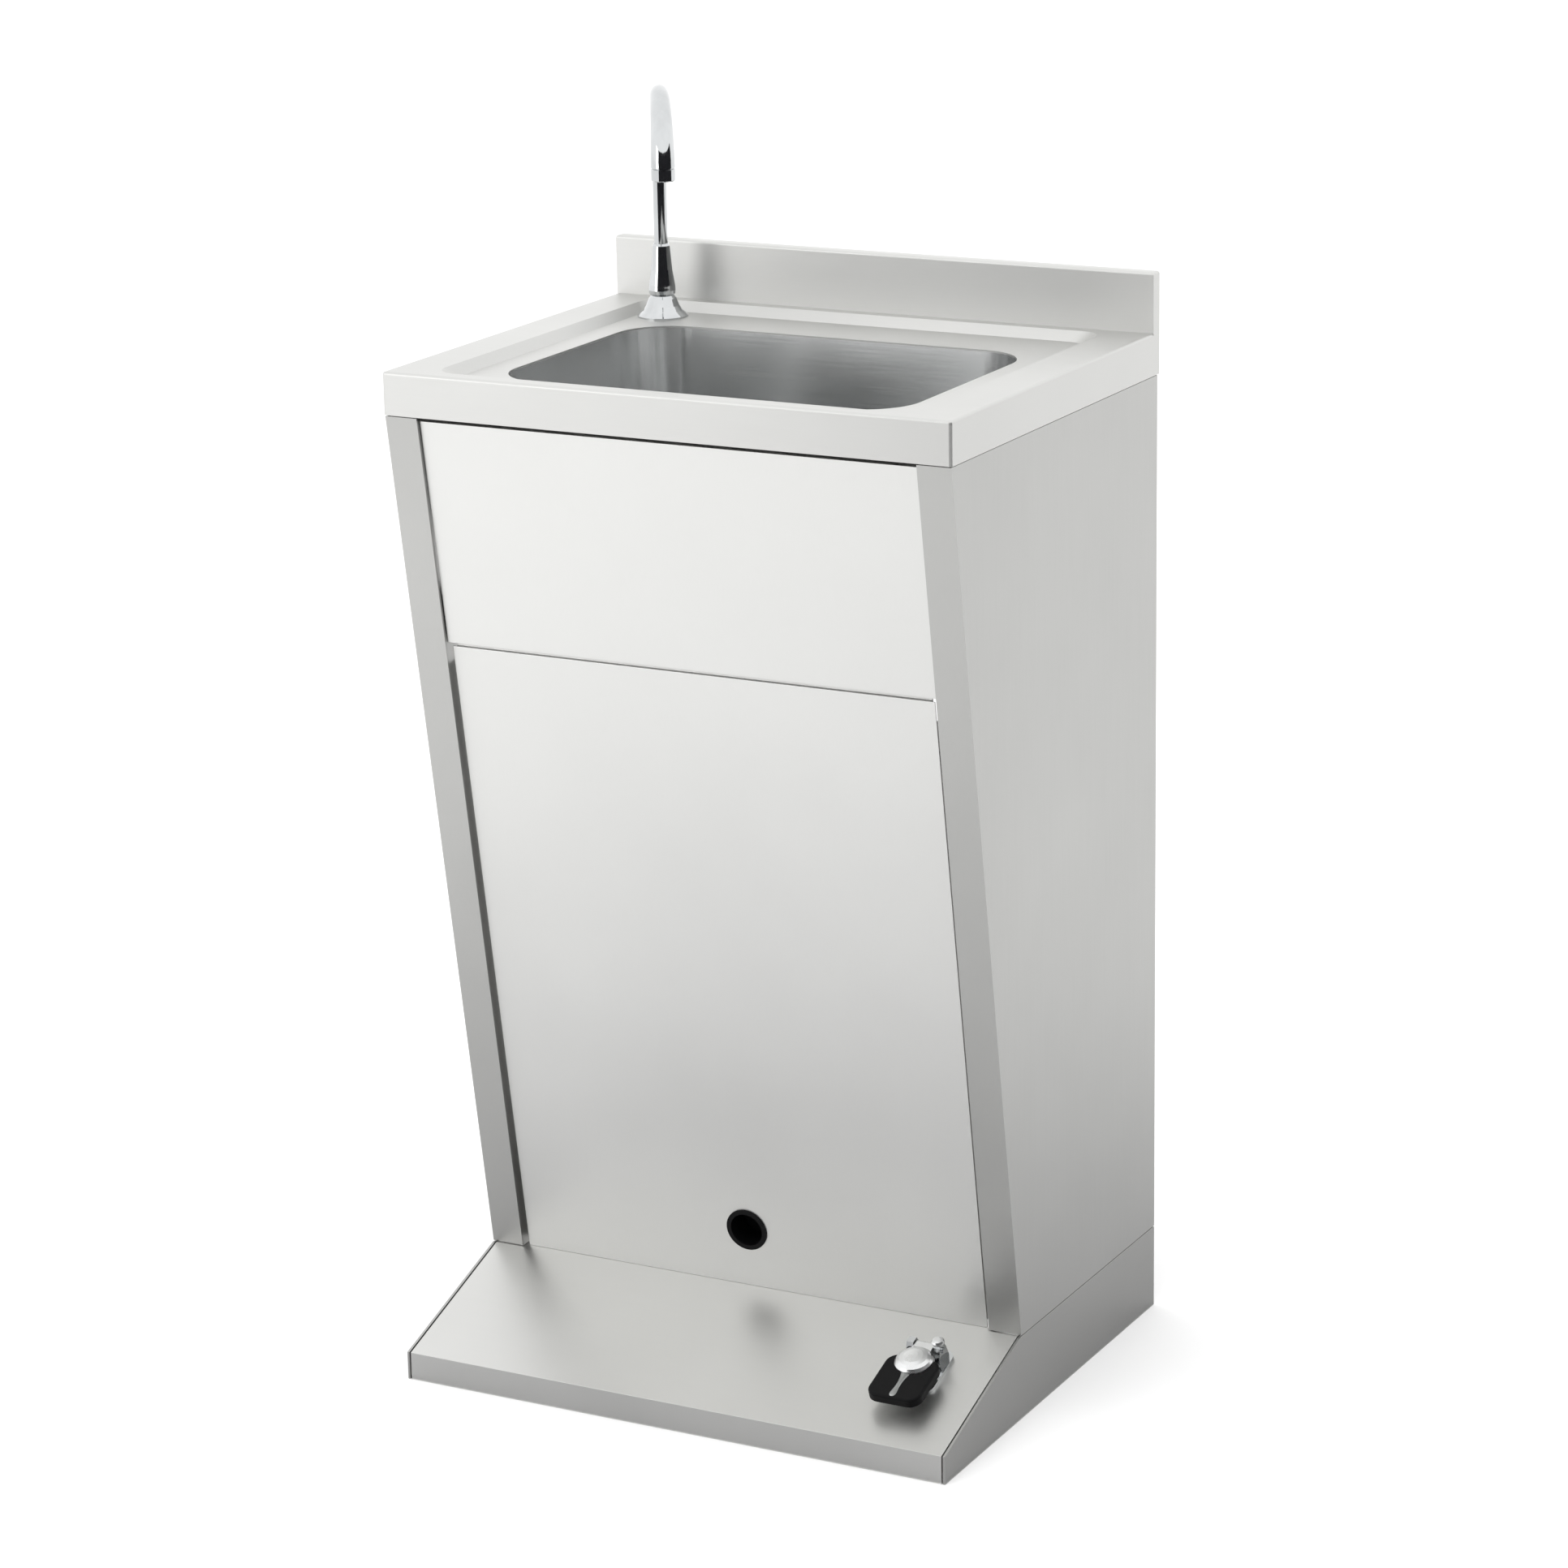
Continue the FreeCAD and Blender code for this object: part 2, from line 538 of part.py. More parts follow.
def build_access_panel():
    """Lift-up lower panel: a flat face, side hems, and a set-back tongue behind the upper panel.

    Below the seam the sheet steps back, which leaves a shadow line between the two panels.
    """
    body = new_body("access_panel", IN_LEAN)
    hem_back = "Dim.lower_setback + Dim.hem_depth"
    hem_top = f"{FACE_SEAM} - Dim.panel_lift - Dim.rail_inset * 2"
    tongue_x = f"{FACE_X} - Dim.tongue_inset"
    face_top = f"({FACE_SEAM} - Dim.seam_shadow)"
    extrude(body, "YZ_Plane", f"-{FACE_X}", FACE_X,
            [rectangle("Dim.lower_setback", FACE_LOW, LOWER_BACK, face_top)])
    for low, high in ((f"-{FACE_X}", f"-({FACE_X} - Dim.face_sheet)"),
                      (f"{FACE_X} - Dim.face_sheet", FACE_X)):
        extrude(body, "YZ_Plane", low, high,
                [rectangle("Dim.lower_setback", f"{FACE_LOW} + Dim.hem_depth / 2",
                           hem_back, hem_top)])
    extrude(body, "YZ_Plane", f"-({tongue_x})", tongue_x,
            [("polygon", [("Dim.lower_setback", f"{face_top} - Dim.face_sheet"),
                          (TONGUE_BACK, f"{face_top} - Dim.face_sheet"),
                          (TONGUE_BACK, f"{FACE_SEAM} + Dim.tongue"),
                          (f"{TONGUE_BACK} - Dim.face_sheet", f"{FACE_SEAM} + Dim.tongue"),
                          (f"{TONGUE_BACK} - Dim.face_sheet", face_top),
                          ("Dim.lower_setback", face_top)])])
    extrude(body, "XZ_Plane", f"Dim.lower_setback - {PAST}", f"{LOWER_BACK} + {PAST}",
            [("circle", "0", FACE_HOLE, "Dim.hole_radius")], cut=True)
    return body


def build_finger_cup():
    """Moulded cup that lines the finger hole: a front flange, a wall and a closed floor."""
    body = new_body("finger_pull_cup", IN_LEAN)
    inner = "Dim.hole_radius - Dim.cup_wall"
    cup_end = f"{LOWER_BACK} + Dim.cup_depth"
    for low, high, rim in (
            ("Dim.lower_setback - Dim.cup_proud", "Dim.lower_setback",
             "Dim.hole_radius + Dim.cup_flange"),
            ("Dim.lower_setback", cup_end, "Dim.hole_radius")):
        extrude(body, "XZ_Plane", low, high,
                [("circle", "0", FACE_HOLE, rim), ("circle", "0", FACE_HOLE, inner)])
    extrude(body, "XZ_Plane", f"{cup_end} - Dim.cup_floor", cup_end,
            [("circle", "0", FACE_HOLE, "Dim.hole_radius")])
    extrude(body, "XZ_Plane", LOWER_BACK, f"{LOWER_BACK} + Dim.cup_proud",
            [("circle", "0", FACE_HOLE, "Dim.hole_radius + Dim.cup_flange"),
             ("circle", "0", FACE_HOLE, f"{inner} + Dim.cup_wall / 2")])
    return body


def build_guide_rail():
    """Cross rail behind the seam: the lower panel's tongue slides in front of its web."""
    body = new_body("panel_guide_rail", IN_LEAN)
    face = f"{TONGUE_BACK} + Dim.guide_gap"
    low = f"{FACE_SEAM} - Dim.rail_inset"
    high = f"{low} + Dim.guide_height"
    extrude(body, "YZ_Plane", f"-{LEG_X}", LEG_X,
            [("polygon", [(face, low), (f"{face} + Dim.guide_depth", low),
                          (f"{face} + Dim.guide_depth", f"{low} + Dim.face_sheet"),
                          (f"{face} + Dim.face_sheet", f"{low} + Dim.face_sheet"),
                          (f"{face} + Dim.face_sheet", f"{high} - Dim.face_sheet"),
                          (f"{face} + Dim.guide_depth", f"{high} - Dim.face_sheet"),
                          (f"{face} + Dim.guide_depth", high), (face, high)])])
    return body


def build_magnets():
    """Two magnetic catches on the plinth's ledge, close behind the lower panel."""
    body = new_body("panel_magnets")
    front = (f"({LEG_FOOT_Y} + {LOWER_BACK} / {LEAN_COS} + Dim.seam * tan({LEAN})"
             f" + Dim.magnet_gap)")
    for side in ("-1", "1"):
        middle = f"{side} * Dim.magnet_pitch / 2"
        extrude(body, "XY_Plane", "Dim.plinth_height", "Dim.plinth_height + Dim.magnet_height",
                [rectangle(f"{middle} - Dim.magnet_width / 2", front,
                           f"{middle} + Dim.magnet_width / 2",
                           f"{front} + Dim.magnet_depth")])
    return body


def build_wall_rail():
    """Rear rail that ties the sides together and takes the two wall bolts."""
    body = new_body("wall_rail")
    high = "(Dim.rim_height - Dim.wall_rail_drop)"
    low = f"({high} - Dim.wall_rail_height)"
    web_back = f"{SHELL_BACK} - Dim.side_sheet"
    web_front = f"{web_back} - Dim.plinth_sheet"
    rail_x = f"{SHELL_X} - Dim.side_sheet - Dim.cheek_gap"
    extrude(body, "YZ_Plane", f"-({rail_x})", rail_x,
            [("polygon", [(f"{web_front} - Dim.wall_rail_depth", low), (web_back, low),
                          (web_back, high), (web_front, high),
                          (web_front, f"{low} + Dim.plinth_sheet"),
                          (f"{web_front} - Dim.wall_rail_depth", f"{low} + Dim.plinth_sheet")])])
    middle = f"({low} + {high}) / 2"
    extrude(body, "XZ_Plane", f"{web_front} - {PAST}", f"{web_back} + {PAST}",
            [("circle", "-Dim.wall_bolt_pitch / 2", middle, "Dim.wall_bolt_radius"),
             ("circle", "Dim.wall_bolt_pitch / 2", middle, "Dim.wall_bolt_radius")], cut=True)
    return body


# --- Plinth ------------------------------------------------------------------------------

def build_tread_plate():
    """Sloping toe plate: lip, ramp and rear ledge folded from one sheet, with the valve hole."""
    body = new_body("tread_plate")
    sheet = "Dim.plinth_sheet"
    slope = f"({RAMP_RISE} / Dim.ramp_run)"
    drop = f"({sheet} / cos({RAMP}))"
    extrude(body, "YZ_Plane", f"-{TREAD_X}", TREAD_X,
            [("polygon", [(f"{FRONT} + Dim.foot_return", "0"), (FRONT, "0"),
                          (FRONT, "Dim.lip_height"), (RAMP_TOP_Y, "Dim.plinth_height"),
                          (LEDGE_Y, "Dim.plinth_height"),
                          (LEDGE_Y, f"Dim.plinth_height - {sheet}"),
                          (f"{FRONT} + ({RAMP_RISE} - {sheet} + {drop}) / {slope}",
                           f"Dim.plinth_height - {sheet}"),
                          (f"{FRONT} + {sheet}", f"Dim.lip_height + {sheet} * {slope} - {drop}"),
                          (f"{FRONT} + {sheet}", sheet),
                          (f"{FRONT} + Dim.foot_return", sheet)])])
    sketch = new_sketch(body, "XY_Plane", "0", tilt=(VALVE_Y, VALVE_Z, RAMP))
    draw_circle(sketch, "Dim.pedal_x", "0", "Dim.neck_radius + Dim.neck_hole_gap")
    hole = body.newObject("PartDesign::Pocket", "tread_plate_hole")
    hole.Profile = sketch
    hole.Midplane = True
    hole.setExpression("Length", f"4 * {sheet}")
    DOC.recompute()
    return body


def build_cheek(label, side):
    """Plinth side: a plate under the side panel with floor and top flanges, and anchor holes."""
    body = new_body(label)

    def pad(inner, outer, loops):
        start, stop = (inner, outer) if side > 0 else (f"-({outer})", f"-({inner})")
        extrude(body, "YZ_Plane", start, stop, loops)

    inner = f"{SHELL_X} - Dim.flange_width - Dim.plinth_sheet"
    pad(CHEEK_X, SHELL_X,
        [("polygon", [(FRONT, "0"), (SHELL_BACK, "0"), (SHELL_BACK, "Dim.plinth_height"),
                      (RAMP_TOP_Y, "Dim.plinth_height"), (FRONT, "Dim.lip_height")])])
    pad(inner, SHELL_X, [rectangle(f"{FRONT} + Dim.foot_return + Dim.seam", "0",
                                   f"{SHELL_BACK} - Dim.seam", "Dim.plinth_sheet")])
    pad(inner, SHELL_X, [rectangle(f"{LEDGE_Y} + Dim.seam", "Dim.plinth_height - Dim.plinth_sheet",
                                   f"{SHELL_BACK} - Dim.seam", "Dim.plinth_height")])
    holes = [("circle", f"{side} * Dim.anchor_pitch_x / 2", f"{end} * Dim.anchor_pitch_y / 2",
              "Dim.anchor_radius") for end in (-1, 1)]
    extrude(body, "XY_Plane", f"-{PAST}", f"Dim.plinth_sheet + {PAST}", holes, cut=True)
    extrude(body, "XY_Plane", "Dim.plinth_height - 2 * Dim.plinth_sheet",
            f"Dim.plinth_height + {PAST}", screw_holes((side,)), cut=True)
    return body


def build_floor_rail():
    """Rear rail of the plinth, which carries the water inlet union."""
    body = new_body("floor_rail")
    back = f"{RAIL_FRONT} + Dim.plinth_sheet"
    low = "Dim.plinth_sheet"
    extrude(body, "YZ_Plane", f"-{TREAD_X}", TREAD_X,
            [("polygon", [(RAIL_FRONT, low), (back, low), (back, "Dim.floor_rail_height"),
                          (f"{RAIL_FRONT} - Dim.floor_rail_flange", "Dim.floor_rail_height"),
                          (f"{RAIL_FRONT} - Dim.floor_rail_flange",
                           "Dim.floor_rail_height - Dim.plinth_sheet"),
                          (RAIL_FRONT, "Dim.floor_rail_height - Dim.plinth_sheet")])])
    extrude(body, "XZ_Plane", f"{RAIL_FRONT} - {PAST}", f"{back} + {PAST}",
            [("circle", "Dim.pedal_x", "Dim.union_height", "Dim.union_radius + Dim.thread_gap")],
            cut=True)
    return body


def build_fasteners():
    """Screws and nuts that join the sides to the worktop's returns and to the plinth."""
    spots = [(f"{side} * {SCREW_X}", y) for side in (-1, 1) for y in SCREW_YS]
    joints = (("top", f"{BAND_LOW} - Dim.side_sheet", f"{BAND_LOW} + Dim.top_sheet", 1),
              ("plinth", "Dim.plinth_height + Dim.side_sheet",
               "Dim.plinth_height - Dim.plinth_sheet", -1))
    for name, under_head, under_nut, way in joints:
        def span(start, length):
            stop = f"({start}) + {way} * ({length})"
            return (start, stop) if number(start) < number(stop) else (stop, start)

        screws = new_body(f"{name}_screws")
        heads = [("circle", x, y, "Dim.screw_head") for x, y in spots]
        shanks = [("circle", x, y, "Dim.screw_shank") for x, y in spots]
        extrude(screws, "XY_Plane", *span(under_head, "-Dim.screw_head_high"), heads)
        tip = f"{under_nut} + {way} * (Dim.nut_thick + Dim.screw_tail)"
        start = f"({under_head}) - {way} * {PAST}"
        ends = (start, tip) if way > 0 else (tip, start)
        extrude(screws, "XY_Plane", *ends, shanks)
        nuts = new_body(f"{name}_nuts")
        outlines = []
        for x, y in spots:
            outlines.append(("polygon", [(f"{x} + {across}", f"{y} + {up}")
                                         for across, up in hexagon("Dim.nut_flats")[1]]))
            outlines.append(("circle", x, y, SCREW_HOLE))
        extrude(nuts, "XY_Plane", *span(under_nut, "Dim.nut_thick"), outlines)


# --- Spout -------------------------------------------------------------------------------

def build_tap_body():
    """Flared base and tapering column on the worktop, with a threaded shank below it."""
    shank_low = "-Dim.shank_length"
    skirt = "Dim.tap_skirt"
    full = "Dim.tap_body_height"
    socket = "Dim.riser_radius + Dim.swivel_gap"
    groove = f"{full} - Dim.ring_drop"
    turned("spout_seal_ring", ON_PAN, ring_outline(
        socket, f"{socket} + Dim.ring_section", f"{groove} + Dim.ring_gap",
        f"{groove} + Dim.ring_section - Dim.ring_gap"))
    return turned("tap_body", ON_PAN, [
        ("Dim.shank_bore", shank_low), ("Dim.shank_radius", shank_low),
        ("Dim.shank_radius", "0"), ("Dim.tap_flange", "0"), ("Dim.tap_flange", "1.2"),
        ("Dim.tap_flange * 0.93", "2.6"), ("Dim.tap_flange * 0.78", f"{skirt} * 0.28"),
        ("Dim.tap_flange * 0.66", f"{skirt} * 0.52"), ("Dim.tap_flange * 0.55", f"{skirt} * 0.86"),
        ("Dim.tap_bulb * 0.86", skirt), ("Dim.tap_bulb * 0.97", f"{skirt} + 1.6"),
        ("Dim.tap_bulb", f"{skirt} + 4.5"), ("Dim.tap_bulb * 0.97", f"{skirt} + 9"),
        ("(Dim.tap_bulb + Dim.tap_neck) * 0.48", f"({skirt} + {full}) / 2"),
        ("Dim.tap_neck", f"{full} - 2"), ("Dim.tap_neck - 0.8", full), (socket, full),
        (socket, f"{groove} + Dim.ring_section"),
        (f"{socket} + Dim.ring_section + Dim.ring_gap", f"{groove} + Dim.ring_section"),
        (f"{socket} + Dim.ring_section + Dim.ring_gap", groove), (socket, groove),
        (socket, f"{full} - Dim.riser_socket"), ("Dim.shank_bore", f"{full} - Dim.riser_socket")])


def arch_wire(height):
    """The spout's centre line, from the riser's top over the arch to the outlet."""
    radius = number(ARCH_RADIUS)
    start = FreeCAD.Vector(0, 0, height)
    top = FreeCAD.Vector(radius, 0, height + radius)
    end = FreeCAD.Vector(2 * radius, 0, height)
    return Part.Wire([Part.Arc(start, top, end).toShape()])


def build_spout():
    """Swan neck: a straight riser, then a half-circle that widens steadily to the outlet."""
    level = number(SPRING_LINE)
    radius = number("Dim.riser_radius")
    mouth = number("Dim.outlet_radius")
    wall = number("Dim.spout_wall")
    reach = number("Dim.spout_reach")
    low = number("Dim.tap_body_height - Dim.riser_socket + 1")
    up = FreeCAD.Vector(0, 0, 1)

    def swept(shrink):
        first = Part.Wire([Part.Circle(FreeCAD.Vector(0, 0, level), up, radius - shrink).toShape()])
        last = Part.Wire([Part.Circle(FreeCAD.Vector(reach, 0, level), up, mouth - shrink).toShape()])
        arch = arch_wire(level).makePipeShell([first, last], True, False)
        riser = Part.makeCylinder(radius - shrink, level - low, FreeCAD.Vector(0, 0, low), up)
        return riser.fuse(arch)

    shape = swept(0).cut(swept(wall)).removeSplitter()
    spout = DOC.addObject("Part::Feature", "swan_neck_spout")
    spout.Label = "swan_neck_spout"
    spout.Shape = shape
    bind_place(spout, ("Dim.tap_x", TAP_Y, PAN_TOP, (0, 0, 1), "Dim.spout_turn - 90"))
    PARTS.append(spout)
    return spout


def build_aerator():
    """Ring nut with the jet insert, under the spout's mouth."""
    axis_x = "Dim.tap_x + Dim.spout_reach * cos(Dim.spout_turn - 90)"
    axis_y = f"{TAP_Y} + Dim.spout_reach * sin(Dim.spout_turn - 90)"
    place = (axis_x, axis_y, f"{PAN_TOP} + {SPRING_LINE}", None, "0")
    low = "-Dim.aerator_height"
    return turned("spout_aerator", place, [
        ("Dim.aerator_bore", low), ("Dim.outlet_radius - 0.8", low),
        ("Dim.outlet_radius", f"{low} + 0.8"), ("Dim.outlet_radius", "-1.2"),
        ("Dim.outlet_radius - 0.7", "-0.6"), ("Dim.outlet_radius - 0.7", "0"),
        ("Dim.outlet_radius - Dim.spout_wall", "0"), ("1.2", "-2.5"), ("1.2", "-4"),
        ("Dim.aerator_bore", "-4")])


def build_tap_fixings():
    """Rubber washer and backnut that clamp the tap from below the worktop."""
    under = "-Dim.top_sheet"
    washer_low = f"{under} - Dim.washer_thick"
    turned("tap_washer", ON_PAN, ring_outline(
        "Dim.shank_radius + Dim.thread_gap", "Dim.washer_radius", washer_low, under))
    hex_nut("tap_backnut", ON_PAN, "Dim.backnut_flats", "Dim.shank_radius + Dim.thread_gap",
            f"{washer_low} - Dim.backnut_thick", washer_low)


# --- Waste and trap ----------------------------------------------------------------------

def build_strainer():
    """Dished strainer in the bowl's floor, with a ring of holes and a threaded neck."""
    body = new_body("bowl_strainer", AT_DRAIN)
    top = "Dim.bowl_sheet"
    grid_low = f"{top} - Dim.strainer_sheet + 1"
    revolve(body, [
        ("0", grid_low), ("Dim.strainer_neck - Dim.waste_wall", grid_low),
        ("Dim.strainer_neck - Dim.waste_wall", "-Dim.strainer_drop"),
        ("Dim.strainer_neck", "-Dim.strainer_drop"), ("Dim.strainer_neck", top),
        ("Dim.strainer_radius", top), ("Dim.strainer_radius - 1", f"{top} + 1.2"),
        ("Dim.strainer_radius - 4", f"{top} + Dim.strainer_lip"),
        ("Dim.strainer_dish + 1.5", f"{top} + Dim.strainer_lip"),
        ("Dim.strainer_neck - Dim.waste_wall", f"{top} + 1"), ("0", f"{top} + 1")])
    sketch = new_sketch(body, "XY_Plane", f"{grid_low} - {PAST}")
    draw_circle(sketch, "Dim.slot_ring", "0", "Dim.slot_radius")
    hole = body.newObject("PartDesign::Pocket", "bowl_strainer_hole")
    hole.Profile = sketch
    hole.Reversed = True
    hole.setExpression("Length", f"Dim.strainer_sheet + Dim.strainer_lip + 2 * {PAST}")
    DOC.recompute()
    ring = body.newObject("PartDesign::PolarPattern", "bowl_strainer_ring")
    ring.Originals = [hole]
    ring.Axis = (plane_of(body, "Z_Axis"), [""])
    ring.Angle = 360
    ring.Occurrences = 8
    body.Tip = ring
    DOC.recompute()
    extrude(body, "XY_Plane", f"{grid_low} - {PAST}", f"{top} + Dim.strainer_lip + {PAST}",
            [("circle", "0", "0", "Dim.slot_radius")], cut=True)
    return body


def build_waste():
    """Gasket and waste cup under the bowl, and the tail pipe with its slip nut."""
    gasket_low = "-Dim.gasket_thick"
    turned("waste_gasket", AT_DRAIN, ring_outline(
        "Dim.strainer_neck + Dim.slip_gap", "Dim.waste_radius", gasket_low, "0"))
    flange_low = f"{gasket_low} - Dim.waste_flange"
    cup_low = "-Dim.waste_cup_drop"
    neck_low = f"{cup_low} - Dim.waste_neck_length"
    bore = "Dim.strainer_neck + Dim.slip_gap"
    cup = f"({bore} + 2 * Dim.waste_wall)"
    throat = "Dim.tail_radius + Dim.slip_gap"
    turned("waste_cup", AT_DRAIN, [
        (bore, gasket_low), ("Dim.waste_radius", gasket_low), ("Dim.waste_radius", flange_low),
        (cup, f"{flange_low} - 3"), (cup, cup_low), ("Dim.waste_neck", f"{cup_low} - 4"),
        ("Dim.waste_neck", neck_low), (throat, neck_low), (throat, f"{cup_low} + 2"),
        (bore, f"{cup_low} + 5")])
    nut_low = f"{neck_low} - Dim.slip_nut_height / 2"
    nut = new_body("waste_slip_nut", AT_DRAIN)
    extrude(nut, "XY_Plane", nut_low, f"{nut_low} + Dim.slip_nut_height",
            [hexagon("Dim.slip_nut_flats"), ("circle", "0", "0", throat)])
    extrude(nut, "XY_Plane", neck_low, f"{nut_low} + Dim.slip_nut_height + {PAST}",
            [("circle", "0", "0", "Dim.waste_neck + Dim.slip_gap")], cut=True)
    tail_high = f"{neck_low} + Dim.tail_lap"
    turned("tail_pipe", AT_DRAIN, ring_outline(
        "Dim.tail_radius - Dim.tail_wall", "Dim.tail_radius",
        f"{tail_high} - Dim.tail_length", tail_high))
    return f"({tail_high} - Dim.tail_length)"


def build_trap(tail_low):
    """Bottle trap: cap with a side outlet, screw-off cup, nuts, and the pipe to the wall.

    A shallow groove round the pipe behind the outlet nut marks how far the pipe goes in.
    """
    cap_high = f"({tail_low} + Dim.tail_lap)"
    cap_low = f"({cap_high} - Dim.trap_cap_height)"
    throat = "Dim.tail_radius + Dim.slip_gap"
    inside = "Dim.trap_radius - Dim.trap_wall"
    cap = new_body("trap_cap", AT_DRAIN)
    revolve(cap, [
        (throat, f"{cap_high} - 3 * Dim.trap_wall"), (throat, cap_high),
        ("Dim.waste_neck", cap_high), ("Dim.waste_neck", f"{cap_high} - 6"),
        ("Dim.trap_radius - 3", f"{cap_high} - 6"), ("Dim.trap_radius", f"{cap_high} - 9"),
        ("Dim.trap_radius", cap_low), (inside, cap_low),
        (inside, f"{cap_high} - 3 * Dim.trap_wall")])
    outlet_z = f"({cap_low} + Dim.trap_outlet_rise)"
    extrude(cap, "XZ_Plane", f"{inside} - 3", "Dim.trap_boss_length",
            [("circle", "0", outlet_z, "Dim.trap_boss + Dim.trap_wall")])
    extrude(cap, "XZ_Plane", f"{inside} - 6", f"Dim.trap_boss_length + {PAST}",
            [("circle", "0", outlet_z, "Dim.trap_boss + Dim.slip_gap")], cut=True)
    extrude(cap, "XY_Plane", f"{cap_low} - {PAST}", f"{cap_high} - 3 * Dim.trap_wall",
            [("circle", "0", "0", inside)], cut=True)
    turned("trap_top_nut", AT_DRAIN, [
        (throat, f"{cap_high} + 3"), (throat, cap_high),
        ("Dim.waste_neck + Dim.slip_gap", cap_high),
        ("Dim.waste_neck + Dim.slip_gap", f"{cap_high} - 5"),
        ("Dim.waste_neck + 4", f"{cap_high} - 5"), ("Dim.waste_neck + 4", f"{cap_high} + 1"),
        ("Dim.waste_neck + 2", f"{cap_high} + 3")])
    cup_low = f"({cap_low} - Dim.trap_cup_height)"
    turned("trap_cup", AT_DRAIN, [
        (inside, cap_low), ("Dim.trap_radius + 2", cap_low), ("Dim.trap_radius + 2", f"{cap_low} - 12"),
        ("Dim.trap_radius", f"{cap_low} - 14"), ("Dim.trap_radius", f"{cup_low} + 10"),
        ("Dim.trap_radius - 3", f"{cup_low} + 3"), ("Dim.trap_radius - 9", cup_low), ("0", cup_low),
        ("0", f"{cup_low} + Dim.trap_wall"), (f"{inside} - 7", f"{cup_low} + Dim.trap_wall"),
        (inside, f"{cup_low} + 10")])
    face = f"({BOWL_Y} + Dim.trap_boss_length)"
    nut = new_body("trap_outlet_nut", ("0", BOWL_Y, f"{DRAIN_LOW} + {outlet_z}", None, "0"))
    extrude(nut, "XZ_Plane", "Dim.trap_boss_length", "Dim.trap_boss_length + Dim.outlet_nut_length",
            [hexagon("Dim.outlet_nut_flats", 30),
             ("circle", "0", "0", "Dim.outlet_radius_out + Dim.slip_gap")])
    pipe = new_body("waste_pipe", ("0", "0", f"{DRAIN_LOW} + {outlet_z}", None, "0"))
    extrude(pipe, "XZ_Plane", f"{face} - Dim.outlet_lap", f"{BACK} - Dim.outlet_back_gap",
            [("circle", "0", "0", "Dim.outlet_radius_out"),
             ("circle", "0", "0", "Dim.outlet_radius_out - Dim.trap_wall")])
    mark = f"{face} + Dim.outlet_nut_length + Dim.mark_gap"
    extrude(pipe, "XZ_Plane", mark, f"{mark} + Dim.mark_width",
            [("circle", "0", "0", f"Dim.outlet_radius_out + {PAST}"),
             ("circle", "0", "0", "Dim.outlet_radius_out - Dim.mark_depth")], cut=True)


# --- Pedal and foot valve, in the frame of the ramp's surface ------------------------------

def build_bracket():
    """Base plate on the ramp with two hinge lugs, a plunger guide and a threaded neck."""
    body = new_body("pedal_bracket", ON_RAMP)
    guide = "Dim.plunger_radius + Dim.plunger_gap"
    extrude(body, "XY_Plane", "0", "Dim.bracket_plate",
            [("round", "-Dim.bracket_half", "-Dim.bracket_front", "Dim.bracket_half",
              "Dim.bracket_back", "Dim.bracket_radius")])
    extrude(body, "XY_Plane", "-Dim.neck_drop", PAST, [("circle", "0", "0", "Dim.neck_radius")])
    extrude(body, "XY_Plane", PAST, "Dim.guide_rise", [("circle", "0", "0", "Dim.guide_radius")])
    extrude(body, "XY_Plane", f"-Dim.neck_drop - {PAST}", f"Dim.guide_rise + {PAST}",
            [("circle", "0", "0", guide)], cut=True)
    run = "Dim.hinge_run"
    for side in (-1, 1):
        inner, outer = "Dim.lug_inner", "Dim.lug_inner + Dim.lug_thick"
        start, stop = (inner, outer) if side > 0 else (f"-({outer})", f"-({inner})")
        extrude(body, "YZ_Plane", start, stop,
                [("polygon", [(f"{run} - Dim.lug_radius * 1.4", "Dim.bracket_plate - 0.5"),
                              (f"{run} + Dim.lug_radius * 1.4", "Dim.bracket_plate - 0.5"),
                              (f"{run} + Dim.lug_radius", "Dim.hinge_rise"),
                              (f"{run} + Dim.lug_radius * 0.55", LUG_TOP),
                              (f"{run} - Dim.lug_radius * 0.55", LUG_TOP),
                              (f"{run} - Dim.lug_radius", "Dim.hinge_rise")])])
    extrude(body, "YZ_Plane", "-Dim.bracket_half", "Dim.bracket_half",
            [("circle", run, "Dim.hinge_rise", "Dim.pin_radius + Dim.pin_gap")], cut=True)
    return body


